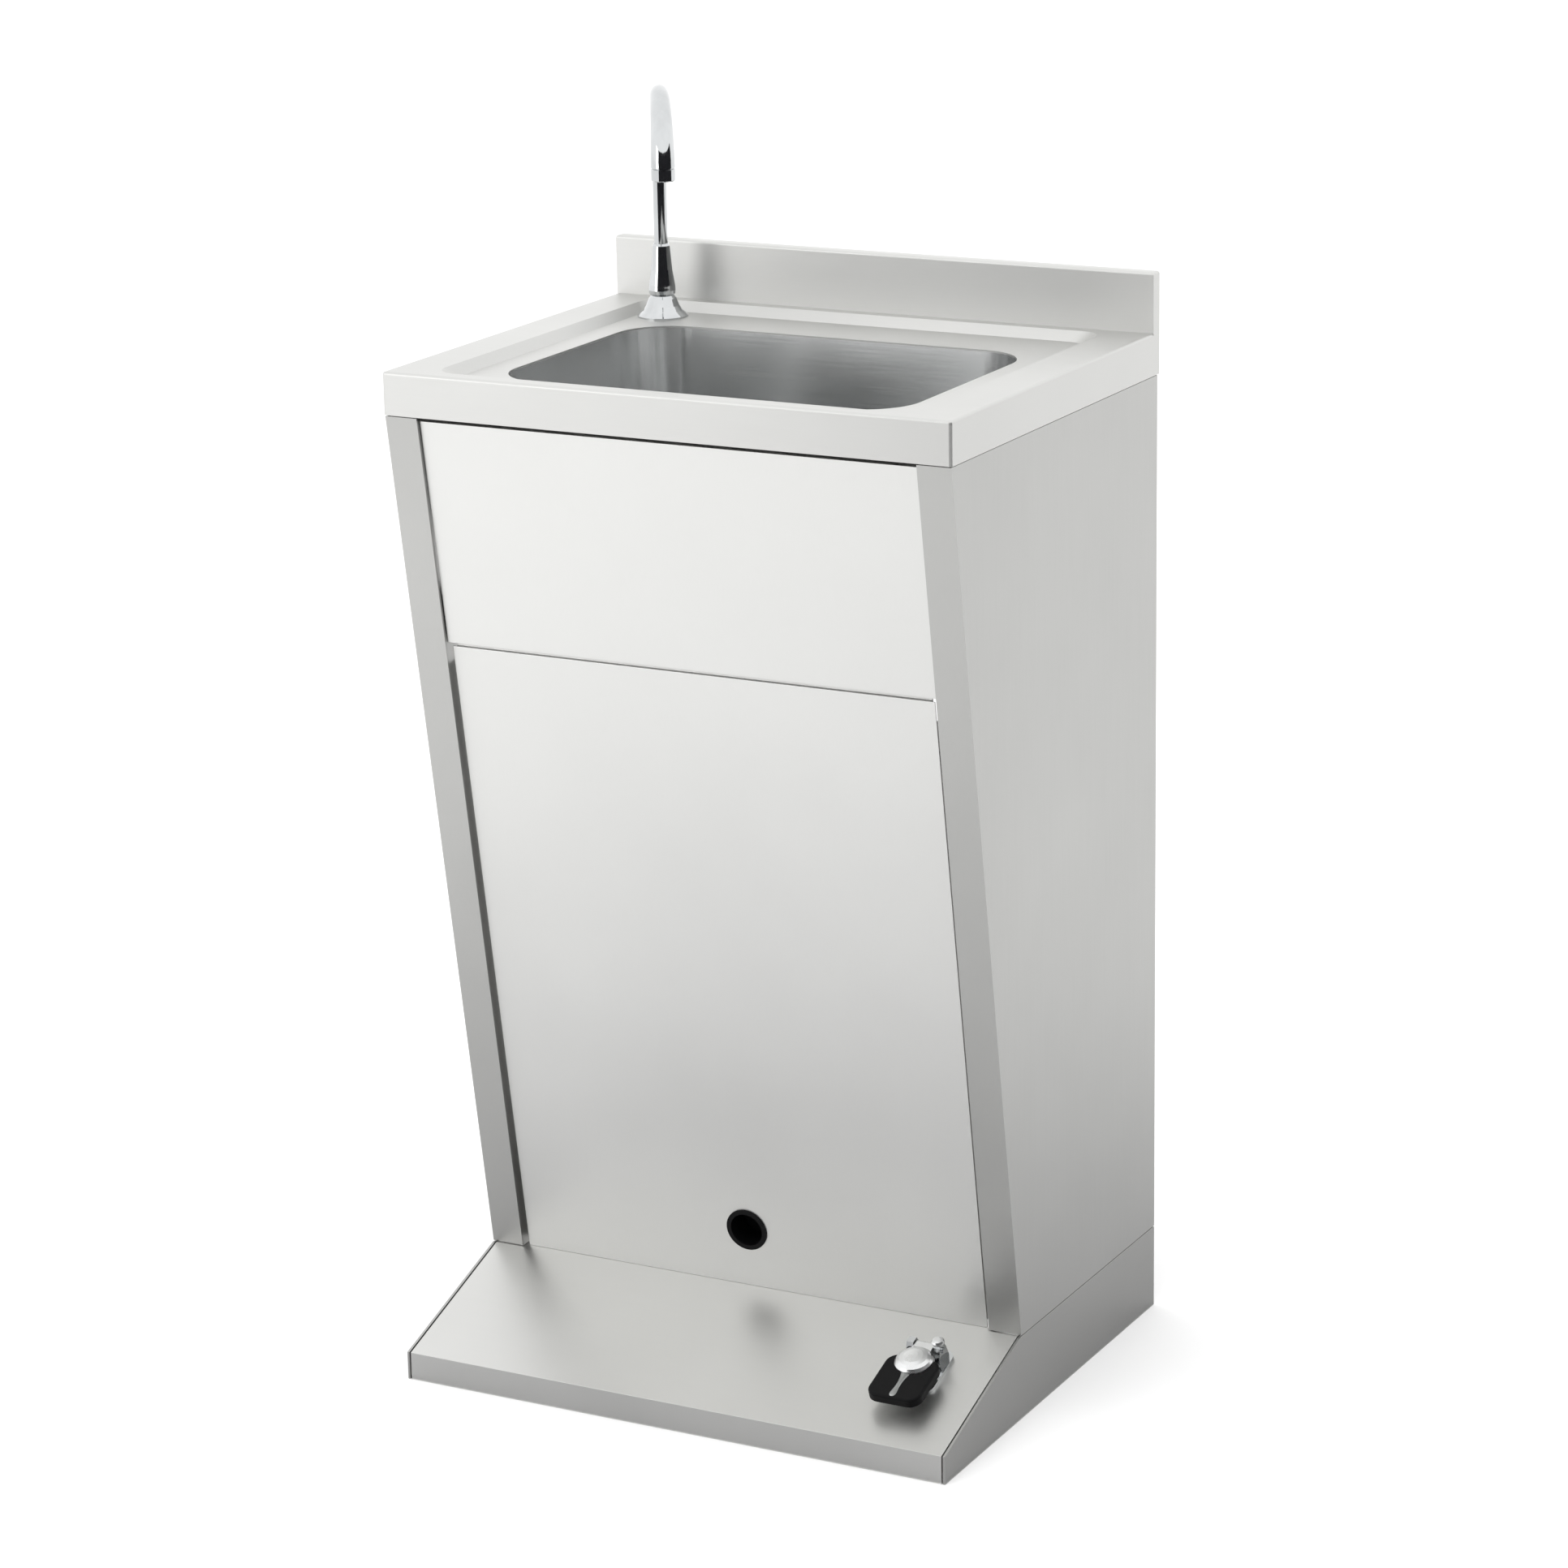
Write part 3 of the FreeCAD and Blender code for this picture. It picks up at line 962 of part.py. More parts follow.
def build_pedal():
    """Cast pedal: crowned tread pad, a dome over the valve and a tongue between the lugs."""
    body = new_body("foot_pedal", ON_RAMP)
    run = "Dim.hinge_run"
    extrude(body, "XY_Plane", "Dim.pad_clear", PAD_TOP,
            [("round", "-Dim.pad_half", "-Dim.pad_front", "Dim.pad_half", "Dim.pad_back",
              "Dim.pad_radius")])
    fillet(body, "Dim.pad_thick * 0.35", lambda edge: flat_at(edge, "Z", PAD_TOP))
    extrude(body, "YZ_Plane", "-Dim.tongue_half", "Dim.tongue_half",
            [rectangle("-Dim.tongue_front", "Dim.hinge_rise - Dim.tongue_radius + Dim.tongue_low", run,
                       "Dim.hinge_rise + Dim.tongue_radius")])
    extrude(body, "YZ_Plane", "-Dim.tongue_half", "Dim.tongue_half",
            [("circle", run, "Dim.hinge_rise", "Dim.tongue_radius")])
    steps = int(number("Dim.dome_steps"))
    crown = [("0", f"{PAD_TOP} - {PAST}"), ("Dim.dome_radius", f"{PAD_TOP} - {PAST}")]
    for step in range(steps):
        angle = 90 * step / steps
        crown.append((f"Dim.dome_radius * cos({angle})", f"{PAD_TOP} + Dim.dome_rise * sin({angle})"))
    crown.append(("0", f"{PAD_TOP} + Dim.dome_rise"))
    revolve(body, crown)
    extrude(body, "YZ_Plane", f"-Dim.tongue_half - {PAST}", f"Dim.tongue_half + {PAST}",
            [("circle", run, "Dim.hinge_rise", "Dim.pin_radius + Dim.pin_gap")], cut=True)
    return body


def build_pedal_cover():
    """Black moulded cover that wraps the tread pad, open for the dome and the tongue."""
    body = new_body("pedal_cover", ON_RAMP)
    wall = "Dim.cover_wall"
    extrude(body, "XY_Plane", "Dim.pad_clear", f"{PAD_TOP} + {wall}",
            [("round", f"-Dim.pad_half - {wall}", f"-Dim.pad_front - {wall}",
              f"Dim.pad_half + {wall}", "Dim.pad_back", f"Dim.pad_radius + {wall}")])
    fillet(body, f"{wall} * 1.4", lambda edge: flat_at(edge, "Z", f"{PAD_TOP} + {wall}"))
    extrude(body, "XY_Plane", f"Dim.pad_clear - {PAST}", PAD_TOP,
            [("round", "-Dim.pad_half", "-Dim.pad_front", "Dim.pad_half",
              "Dim.pad_back + Dim.pad_radius", "Dim.pad_radius")], cut=True)
    extrude(body, "XY_Plane", f"{PAD_TOP} - {PAST}", f"{PAD_TOP} + {PAST} + {wall}",
            [("circle", "0", "0", "Dim.dome_radius + Dim.cover_gap")], cut=True)
    return body


def build_pin_and_screw():
    """Hinge pin through both lugs, and the capped flow screw on the right-hand lug."""
    pin = new_body("pedal_pin", ON_RAMP)
    end = "Dim.lug_inner + Dim.lug_thick + Dim.pin_overhang"
    extrude(pin, "YZ_Plane", f"-({end})", end,
            [("circle", "Dim.hinge_run", "Dim.hinge_rise", "Dim.pin_radius")])
    place = ("Dim.pedal_x + Dim.lug_inner + Dim.lug_thick / 2",
             f"{VALVE_Y} + Dim.hinge_run * cos({RAMP}) - {LUG_TOP} * sin({RAMP})",
             f"{VALVE_Z} + Dim.hinge_run * sin({RAMP}) + {LUG_TOP} * cos({RAMP})",
             (1, 0, 0), RAMP)
    turned("flow_screw", place, [
        ("0", "0"), ("Dim.screw_radius - 2", "0"), ("Dim.screw_radius", "1.4"),
        ("Dim.screw_radius", "Dim.screw_rise - 2"), ("Dim.screw_radius * 0.8", "Dim.screw_rise - 0.6"),
        ("Dim.screw_radius * 0.45", "Dim.screw_rise"), ("0", "Dim.screw_rise")])


def build_plunger():
    """Plunger from the pedal to the valve disc, and the rubber washer on the disc."""
    top = "Dim.pad_clear - Dim.plunger_rest_gap"
    turned("valve_plunger", ON_RAMP, [
        ("0", f"{DISC_LOW} - Dim.plunger_tip"), ("Dim.plunger_radius", f"{DISC_LOW} - Dim.plunger_tip"),
        ("Dim.plunger_radius", DISC_LOW), ("Dim.disc_radius", DISC_LOW),
        ("Dim.disc_radius", DISC_TOP), ("Dim.plunger_radius", DISC_TOP),
        ("Dim.plunger_radius", f"{top} - 1.2"), ("Dim.plunger_radius * 0.8", f"{top} - 0.4"),
        ("Dim.plunger_radius * 0.4", top), ("0", top)])
    turned("valve_washer", ON_RAMP, ring_outline(
        "Dim.plunger_radius", "Dim.disc_radius", DISC_TOP, f"{DISC_TOP} + Dim.washer_lift"))


def build_valve():
    """Valve body with its inlet and outlet ports, the locknut under the ramp and the spring."""
    body = new_body("valve_body", ON_RAMP)
    top = "-Dim.valve_top"
    bottom = "-Dim.valve_length"
    revolve(body, [("0", bottom), ("Dim.valve_radius", bottom), ("Dim.valve_radius", top),
                   ("0", top)])
    extrude(body, "XZ_Plane", "0", "Dim.port_reach",
            [("circle", "0", "-Dim.inlet_depth", "Dim.port_radius")])
    start, stop = "-Dim.port_reach", "0"
    extrude(body, "YZ_Plane", start, stop,
            [("circle", "0", "-Dim.outlet_depth", "Dim.port_radius")])
    socket = "Dim.neck_radius + Dim.thread_gap"
    revolve(body, [("0", f"{bottom} + Dim.valve_floor"),
                   ("Dim.valve_bore", f"{bottom} + Dim.valve_floor"),
                   ("Dim.valve_bore", "-Dim.neck_drop"), (socket, "-Dim.neck_drop"),
                   (socket, f"{top} + {PAST}"), ("0", f"{top} + {PAST}")], cut=True)
    extrude(body, "XZ_Plane", "0", f"Dim.port_reach + {PAST}",
            [("circle", "0", "-Dim.inlet_depth", "Dim.port_bore")], cut=True)
    extrude(body, "YZ_Plane", f"{start} - {PAST}", stop,
            [("circle", "0", "-Dim.outlet_depth", "Dim.port_bore")], cut=True)
    nut_top = "-Dim.plinth_sheet"
    hex_nut("valve_locknut", ON_RAMP, "Dim.locknut_flats", "Dim.neck_radius + Dim.thread_gap",
            f"{nut_top} - Dim.locknut_thick", nut_top)


def build_valve_spring():
    """Return spring between the valve's floor and the disc, at its fully pressed length."""
    body = new_body("valve_spring", ON_RAMP)
    low = "-Dim.valve_length + Dim.valve_floor + Dim.spring_wire"
    sketch = new_sketch(body, "XZ_Plane", "0")
    draw_circle(sketch, "Dim.spring_radius", low, "Dim.spring_wire / 2")
    coil = body.newObject("PartDesign::AdditiveHelix", "valve_spring_coil")
    coil.Profile = sketch
    coil.ReferenceAxis = (sketch, ["V_Axis"])
    coil.Mode = 2
    coil.setExpression("Turns", "Dim.spring_turns")
    coil.setExpression("Height", "Dim.spring_length")
    DOC.recompute()
    return body


# --- Hoses and unions --------------------------------------------------------------------

def on_ramp(x, y, z):
    """A point of the ramp's frame, in the row frame."""
    angle = math.radians(number(RAMP))
    return FreeCAD.Vector(
        number("Dim.pedal_x") + x,
        number(VALVE_Y) + y * math.cos(angle) - z * math.sin(angle),
        number(VALVE_Z) + y * math.sin(angle) + z * math.cos(angle))


def smooth_path(points):
    """Straight runs joined by tangent arcs, each as large as its two runs allow."""
    edges = []
    radii = []
    here = points[0]
    for before, corner, after in zip(points, points[1:], points[2:]):
        back = (before - corner)
        ahead = (after - corner)
        half_turn = (math.pi - back.getAngle(ahead)) / 2
        trim = 0.45 * min(back.Length, ahead.Length)
        radii.append(trim / math.tan(half_turn))
        start = corner + back.normalize() * trim
        stop = corner + ahead.normalize() * trim
        centre_way = (back + ahead).normalize()
        middle = corner + centre_way * (radii[-1] / math.cos(half_turn) - radii[-1])
        edges.append(Part.LineSegment(here, start).toShape())
        edges.append(Part.Arc(start, middle, stop).toShape())
        here = stop
    edges.append(Part.LineSegment(here, points[-1]).toShape())
    return Part.Wire(edges), radii


def build_hose(label, points):
    """A braided hose along a smooth path between its two nuts."""
    path, radii = smooth_path(points)
    radius = number("Dim.hose_radius")
    circle = Part.Circle(points[0], points[1] - points[0], radius)
    shape = path.makePipeShell([Part.Wire([circle.toShape()])], True, False)
    expected = math.pi * radius ** 2 * path.Length
    print(label, "bend radii", [round(r) for r in radii], "length", round(path.Length),
          "volume ratio", round(shape.Volume / expected, 4))
    hose = DOC.addObject("Part::Feature", label)
    hose.Label = label
    hose.Shape = shape
    hose.Placement = FreeCAD.Placement()
    PARTS.append(hose)
    return hose


def hose_nut(label, place, role, mouth, way, x, y, thread):
    """A hexagon hose nut: its threaded mouth faces the fitting, the hose leaves behind it."""
    body = new_body(label, place)
    length = "Dim.hose_nut_length" if way > 0 else "-Dim.hose_nut_length"
    depth = "(Dim.hose_nut_lap + 1)" if way > 0 else "-(Dim.hose_nut_lap + 1)"
    corners = [(f"({x}) + {across}", f"({y}) + {up}")
               for across, up in hexagon(f"({thread} * 2 + Dim.hose_nut_rim)")[1]]
    ends = sorted((mouth, f"({mouth}) + {length}"), key=number)
    throat = sorted((mouth, f"({mouth}) + {depth}"), key=number)
    extrude(body, role, *ends,
            [("polygon", corners), ("circle", x, y, "Dim.hose_radius + Dim.thread_gap")])
    extrude(body, role, *throat, [("circle", x, y, f"{thread} + Dim.thread_gap")], cut=True)
    return body


def build_plumbing():
    """Inlet union through the floor rail, hose nuts on every end, and the two hoses."""
    union_place = ("Dim.pedal_x", "0", "Dim.union_height", None, "0")
    back = f"{RAIL_FRONT} + Dim.plinth_sheet"
    union = new_body("inlet_union", union_place)
    extrude(union, "XZ_Plane", f"{RAIL_FRONT} - Dim.union_front", f"{back} + Dim.union_free",
            [("circle", "0", "0", "Dim.union_radius"), ("circle", "0", "0", "Dim.union_bore")])
    extrude(union, "XZ_Plane", f"{RAIL_FRONT} - Dim.collar_thick", RAIL_FRONT,
            [("circle", "0", "0", "Dim.union_collar"),
             ("circle", "0", "0", "(Dim.union_radius + Dim.union_bore) / 2")])
    relief = f"{back} + Dim.union_nut_thick"
    extrude(union, "XZ_Plane", relief, f"{relief} + Dim.relief_width",
            [("circle", "0", "0", f"Dim.union_radius + {PAST}"),
             ("circle", "0", "0", "Dim.union_radius - Dim.relief_depth")], cut=True)
    nut = new_body("union_locknut", union_place)
    extrude(nut, "XZ_Plane", back, f"{back} + Dim.union_nut_thick",
            [hexagon("Dim.union_nut_flats"),
             ("circle", "0", "0", "Dim.union_radius + Dim.thread_gap")])

    hose_nut("valve_inlet_nut", ON_RAMP, "XZ_Plane", "Dim.port_reach - Dim.hose_nut_lap", 1,
             "0", "-Dim.inlet_depth", "Dim.port_radius")
    hose_nut("valve_outlet_nut", ON_RAMP, "YZ_Plane", "-Dim.port_reach + Dim.hose_nut_lap", -1,
             "0", "-Dim.outlet_depth", "Dim.port_radius")
    hose_nut("tap_hose_nut", ON_PAN, "XY_Plane", "-Dim.shank_length + Dim.hose_nut_lap", -1,
             "0", "0", "Dim.shank_radius")
    hose_nut("supply_hose_nut", union_place, "XZ_Plane",
             f"{RAIL_FRONT} - Dim.union_front + Dim.hose_nut_lap - Dim.hose_seat", -1,
             "0", "0", "Dim.union_radius")

    seat = number("Dim.hose_seat")
    start = number("Dim.port_reach") + seat
    inlet_start = on_ramp(0, start, -number("Dim.inlet_depth"))
    inlet_on = on_ramp(0, start + 48, -number("Dim.inlet_depth"))
    union_end = FreeCAD.Vector(number("Dim.pedal_x"),
                               number(f"{RAIL_FRONT} - Dim.union_front") - seat,
                               number("Dim.union_height"))
    run_in = union_end - FreeCAD.Vector(0, 70, 0)
    build_hose("supply_hose", [
        inlet_start, inlet_on, FreeCAD.Vector(inlet_on.x - 4, 26, 50), run_in, union_end])
    outlet_start = on_ramp(-start, 0, -number("Dim.outlet_depth"))
    outlet_on = on_ramp(-start - 62, 0, -number("Dim.outlet_depth"))
    tap_low = number(f"{PAN_TOP} - Dim.shank_length") - seat
    tap = FreeCAD.Vector(number("Dim.tap_x"), number(TAP_Y), tap_low)
    build_hose("delivery_hose", [
        outlet_start, outlet_on, FreeCAD.Vector(24, outlet_on.y + 45, 34),
        FreeCAD.Vector(-36, number(f"{LEDGE_Y} + 32"), 72),
        FreeCAD.Vector(-88, 62, 150), FreeCAD.Vector(-136, 112, 260),
        FreeCAD.Vector(-164, 140, 390), FreeCAD.Vector(-178, 150, 530),
        FreeCAD.Vector(tap.x, tap.y, tap_low - 120), tap])


# --- Build, check and write ----------------------------------------------------------------

def build_all():
    build_worktop()
    build_bowl()
    build_side_panel("side_panel_left", -1)
    build_side_panel("side_panel_right", 1)
    build_upper_panel()
    build_access_panel()
    build_finger_cup()
    build_guide_rail()
    build_magnets()
    build_wall_rail()
    build_tread_plate()
    build_cheek("plinth_side_left", -1)
    build_cheek("plinth_side_right", 1)
    build_floor_rail()
    build_fasteners()
    build_tap_body()
    build_spout()
    build_aerator()
    build_tap_fixings()
    build_strainer()
    build_trap(build_waste())
    build_bracket()
    build_pedal()
    build_pedal_cover()
    build_pin_and_screw()
    build_plunger()
    build_valve()
    build_valve_spring()
    build_plumbing()


def check_and_write():
    """Stop on any failed object or invalid shape, then write one file for each sub-part."""
    DOC.recompute()
    failed = [thing.Label for thing in DOC.Objects
              if {"Invalid", "Error"} & set(thing.State)]
    bad = [part.Label for part in PARTS if part.Shape.isNull() or not part.Shape.isValid()]
    if failed or bad:
        raise SystemExit(f"failed objects {failed}, bad shapes {bad}")
    os.makedirs("parts", exist_ok=True)
    for part in PARTS:
        part.Shape.exportStep(os.path.join("parts", f"{part.Label}.step"))
        print(f"{part.Label:22s} solids {len(part.Shape.Solids)}"
              f" volume {part.Shape.Volume / 1000:10.2f} cm3")


build_all()
check_and_write()
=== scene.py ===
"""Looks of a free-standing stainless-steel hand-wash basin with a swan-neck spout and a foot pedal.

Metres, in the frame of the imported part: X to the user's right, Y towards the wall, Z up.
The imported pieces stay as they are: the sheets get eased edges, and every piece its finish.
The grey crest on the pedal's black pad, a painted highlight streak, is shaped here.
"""
import json
import math

import bmesh
import bpy
from mathutils import Matrix, Vector


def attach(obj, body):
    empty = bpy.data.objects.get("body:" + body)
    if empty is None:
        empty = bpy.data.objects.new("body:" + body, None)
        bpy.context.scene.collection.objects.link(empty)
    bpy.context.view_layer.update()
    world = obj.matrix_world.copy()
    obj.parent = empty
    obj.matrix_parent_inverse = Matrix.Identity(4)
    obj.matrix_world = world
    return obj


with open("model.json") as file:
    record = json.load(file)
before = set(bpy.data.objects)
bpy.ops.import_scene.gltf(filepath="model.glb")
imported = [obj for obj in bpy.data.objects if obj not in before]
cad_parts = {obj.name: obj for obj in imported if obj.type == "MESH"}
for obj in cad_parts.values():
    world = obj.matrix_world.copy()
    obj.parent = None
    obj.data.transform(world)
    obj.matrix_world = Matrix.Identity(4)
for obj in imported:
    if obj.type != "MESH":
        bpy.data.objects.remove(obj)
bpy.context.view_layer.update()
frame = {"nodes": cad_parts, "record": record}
MM = 0.001
TOE_RISE, TOE_RUN = 48, 142
TOE_SLOPE = math.atan2(TOE_RISE, TOE_RUN)
# In the pedal's own frame: its hinge, and the top of its black pad.
HINGE_OFFSET = Vector((0, 22 * MM, 13.5 * MM))
PAD_TOP = 17.9 * MM


# --- Materials ---------------------------------------------------------------------------

def linear(code):
    """An sRGB hex colour as linear red, green, blue and alpha."""
    levels = [int(code[at:at + 2], 16) / 255 for at in (1, 3, 5)]
    return tuple(v / 12.92 if v <= 0.04045 else ((v + 0.055) / 1.055) ** 2.4
                 for v in levels) + (1.0,)


def add(tree, kind, inputs=None, links=None, **settings):
    """Add a node, set its settings and input values, and link its inputs from other outputs."""
    node = tree.nodes.new(kind)
    for key, value in settings.items():
        setattr(node, key, value)
    for key, value in (inputs or {}).items():
        node.inputs[key].default_value = value
    for key, source in (links or {}).items():
        tree.links.new(source, node.inputs[key])
    return node


def start_material(name, **shader):
    """A material with one Principled shader, whose plain values sit on its own sockets."""
    material = bpy.data.materials.new(name)
    material.use_nodes = True
    tree = material.node_tree
    tree.nodes.clear()
    surface = add(tree, "ShaderNodeBsdfPrincipled", inputs=shader)
    add(tree, "ShaderNodeOutputMaterial", links={"Surface": surface.outputs["BSDF"]})
    return material, tree, surface


def noise(tree, size_mm, stretch=(1, 1, 1), detail=2.0):
    """Noise over the object's own metres, with lumps of the given size."""
    place = add(tree, "ShaderNodeTexCoord")
    scale = add(tree, "ShaderNodeMapping", inputs={"Scale": stretch},
                links={"Vector": place.outputs["Object"]})
    return add(tree, "ShaderNodeTexNoise", inputs={"Scale": 1 / (size_mm * MM), "Detail": detail},
               links={"Vector": scale.outputs["Vector"]}).outputs["Fac"]


def spread(tree, source, low, high):
    """Map a texture's 0.3 to 0.7 middle range onto low to high."""
    return add(tree, "ShaderNodeMapRange", inputs={"From Min": 0.3, "From Max": 0.7,
                                                   "To Min": low, "To Max": high},
               links={"Value": source}).outputs["Result"]


def tint(tree, source, dark, light):
    """A colour between two hex colours, by a texture."""
    mix = add(tree, "ShaderNodeMix", data_type="RGBA", links={"Factor": source})
    mix.inputs[6].default_value = linear(dark)
    mix.inputs[7].default_value = linear(light)
    return mix.outputs[2]


def bump(tree, source, height_mm, strength):
    """A relief of the given height, from a texture."""
    return add(tree, "ShaderNodeBump", inputs={"Strength": strength, "Distance": height_mm * MM},
               links={"Height": source}).outputs["Normal"]


def satin_stainless(name, grain, dark, light, rough, depth=0.15):
    """Rolled 304 sheet, brushed with grit belts along one axis: a soft, even, slightly warm grey.

    The brush lines are about 0.1 mm wide on the real sheet; here they are 1.2 mm wide and faint,
    so that they still show, and a slow cloud of 180 mm gives the sheet its uneven sheen.
    """
    material, tree, surface = start_material(name, Metallic=1.0)
    lines = noise(tree, 1.2, grain, 3.0)
    cloud = noise(tree, 180)
    tree.links.new(tint(tree, spread(tree, cloud, 0, 1), dark, light), surface.inputs["Base Color"])
    both = add(tree, "ShaderNodeMath", operation="MULTIPLY_ADD", inputs={1: 0.5},
               links={0: lines, 2: add(tree, "ShaderNodeMath", operation="MULTIPLY",
                                       inputs={1: 0.5}, links={0: cloud}).outputs[0]})
    tree.links.new(spread(tree, both.outputs[0], rough - 0.04, rough + 0.04),
                   surface.inputs["Roughness"])
    tree.links.new(bump(tree, lines, 0.02, depth), surface.inputs["Normal"])
    return material


def polished_metal(name, dark, light, rough):
    """Plated and buffed metal: mirror bright, with faint wipe marks that soften it in patches."""
    material, tree, surface = start_material(name, Metallic=1.0)
    marks = noise(tree, 14, (1, 1, 0.4), 4.0)
    tree.links.new(tint(tree, spread(tree, marks, 0, 1), dark, light), surface.inputs["Base Color"])
    tree.links.new(spread(tree, marks, rough, rough + 0.05), surface.inputs["Roughness"])
    return material


def moulded(name, dark, light, rough, grain_mm, height_mm, gloss=0.5):
    """A moulded polymer: near even colour with a fine moulded grain."""
    material, tree, surface = start_material(name, Metallic=0.0, IOR=1.5)
    surface.inputs["Specular IOR Level"].default_value = gloss
    grain = noise(tree, grain_mm, detail=4.0)
    tree.links.new(tint(tree, spread(tree, grain, 0, 1), dark, light), surface.inputs["Base Color"])
    tree.links.new(spread(tree, grain, rough - 0.06, rough + 0.06), surface.inputs["Roughness"])
    tree.links.new(bump(tree, grain, height_mm, 0.4), surface.inputs["Normal"])
    return material


def wire_braid(name, dark, light):
    """Braided stainless wire over a rubber hose: bright strands that cross, with the hollows
    between them painted dark as painted shade.

    The real strands cross about every 1.5 mm; here they cross every 3 mm, so that they show.
    """
    material, tree, surface = start_material(name, Metallic=1.0)
    place = add(tree, "ShaderNodeTexCoord")
    waves = []
    for lean in ((0.7, 0.7, 1.0), (-0.7, -0.7, 1.0)):
        along = add(tree, "ShaderNodeVectorMath", operation="DOT_PRODUCT", inputs={1: lean},
                    links={0: place.outputs["Object"]})
        phase = add(tree, "ShaderNodeMath", operation="MULTIPLY",
                    inputs={1: math.tau / (3 * MM)}, links={0: along.outputs["Value"]})
        waves.append(add(tree, "ShaderNodeMath", operation="SINE", links={0: phase.outputs[0]}))
    cross = add(tree, "ShaderNodeMath", operation="MAXIMUM",
                links={0: waves[0].outputs[0], 1: waves[1].outputs[0]})
    level = add(tree, "ShaderNodeMapRange", inputs={"From Min": -0.6, "From Max": 0.8},
                links={"Value": cross.outputs[0]}).outputs["Result"]
    # Painted shade: the colour darkens in the hollows between the strands.
    tree.links.new(tint(tree, level, dark, light), surface.inputs["Base Color"])
    tree.links.new(spread(tree, noise(tree, 2), 0.28, 0.4), surface.inputs["Roughness"])
    tree.links.new(bump(tree, level, 0.4, 0.7), surface.inputs["Normal"])
    return material


# The grain's stretch: lines run along X or along Z.
ALONG_X = (0.02, 1, 1)
ALONG_Z = (1, 1, 0.02)
# The sheets are one satin stainless in lit and shaded copies, and their sheen differs a little: the
# front is painted palest as painted light, the sides and plinth darker as painted shade, the
# worktop and toe plate between, and the toe plate is the smoothest of the brushed ones.
WORKTOP = satin_stainless("satin_stainless_worktop", ALONG_X, "#CBCBC9", "#D1D1CF", 0.45)
FRONT_PAINTED_LIGHT = satin_stainless("satin_stainless_front_painted_light", ALONG_Z, "#D8D8D6", "#DDDDDB", 0.42)
SIDE_PAINTED_SHADE = satin_stainless("satin_stainless_side_painted_shade", ALONG_Z, "#B2B2B0", "#B9B9B7", 0.40)
TREAD = satin_stainless("satin_stainless_tread", ALONG_X, "#CACAC8", "#D0D0CE", 0.38)
PLINTH_PAINTED_SHADE = satin_stainless("satin_stainless_plinth_painted_shade", ALONG_X, "#ACACAA", "#B3B3B1", 0.40)
# Deep drawn and left nearly bright, so that the bowl mirrors its own walls softly.
PRESSED = satin_stainless("pressed_stainless_bowl", ALONG_X, "#CDCECE", "#D5D6D6", 0.20, 0.03)
# A near mirror on the tap and strainer; nickel is warmer and zinc bluer, and both are duller.
CHROME = polished_metal("polished_chrome_plate", "#BEC0C1", "#C9CBCC", 0.03)
NICKEL = polished_metal("nickel_plated_brass", "#B9B2A2", "#CDC7B8", 0.16)
ZINC = polished_metal("bright_zinc_plate", "#AEB3B8", "#C4C8CC", 0.22)
# Matt and near black, with almost no highlight.
RUBBER = moulded("black_epdm_rubber", "#060607", "#0C0C0D", 0.5, 0.8, 0.02, 0.12)
# A grey crest on the black pad as a painted highlight streak, and a soft bright casting around it.
HIGHLIGHT_STREAK = polished_metal("painted_highlight_streak", "#8E908F", "#A9ABAA", 0.35)
CAST = polished_metal("satin_chrome_casting", "#D5D6D6", "#DEDFDF", 0.26)
# Dull moulded pipes that glow a little against the steel, and a plain black housing.
WHITE_PLASTIC = moulded("white_polypropylene", "#E6E6E2", "#F1F1EE", 0.35, 1.5, 0.01)
BLACK_PLASTIC = moulded("black_abs_housing", "#17181A", "#202124", 0.4, 1.2, 0.015)
BRAID = wire_braid("stainless_wire_braid", "#4A4C4F", "#D0D2D4")

# The plain satin steel slot takes the plinth tone, painted darker as painted shade.
SLOTS = {
    "satin_stainless": PLINTH_PAINTED_SHADE, "polished_chrome": CHROME, "black_rubber": RUBBER,
    "white_plastic": WHITE_PLASTIC, "nickelled_brass": NICKEL, "braided_hose": BRAID,
    "magnet_housing": BLACK_PLASTIC, "zinc_fastener": ZINC,
}
# The front panels take the tone painted palest as painted light; the side panels take the tone
# painted darker as painted shade.
SHEETS = {
    "worktop": WORKTOP, "bowl": PRESSED, "upper_front_panel": FRONT_PAINTED_LIGHT, "access_panel": FRONT_PAINTED_LIGHT,
    "side_panel_left": SIDE_PAINTED_SHADE, "side_panel_right": SIDE_PAINTED_SHADE, "tread_plate": TREAD,
    "foot_pedal": CAST, "flow_screw": CAST,
}
EASED = ("upper_front_panel", "access_panel", "side_panel_left", "side_panel_right",
         "tread_plate", "plinth_side_left", "plinth_side_right", "floor_rail", "wall_rail",
         "panel_guide_rail")


def finish_node(name, thing):
    """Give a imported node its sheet's finish, or the finish of its material slot."""
    slot = thing.data.materials[0].name.split(".")[0]
    for place in thing.material_slots:
        place.material = SHEETS.get(name, SLOTS[slot])


def ease_edges(thing, width_mm=0.5):
    """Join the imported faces' edges and round them as a deburred sheet's edges are."""
    weld = thing.modifiers.new("join_faces", "WELD")
    weld.merge_threshold = 0.01 * MM
    flat = thing.modifiers.new("flat_faces", "DECIMATE")
    flat.decimate_type = "DISSOLVE"
    flat.angle_limit = math.radians(1)
    edge = thing.modifiers.new("eased_edges", "BEVEL")
    edge.width = width_mm * MM
    edge.segments = 2
    edge.limit_method = "ANGLE"
    edge.angle_limit = math.radians(35)
    edge.use_clamp_overlap = True
    shade = thing.modifiers.new("even_shading", "WEIGHTED_NORMAL")
    shade.weight = 100


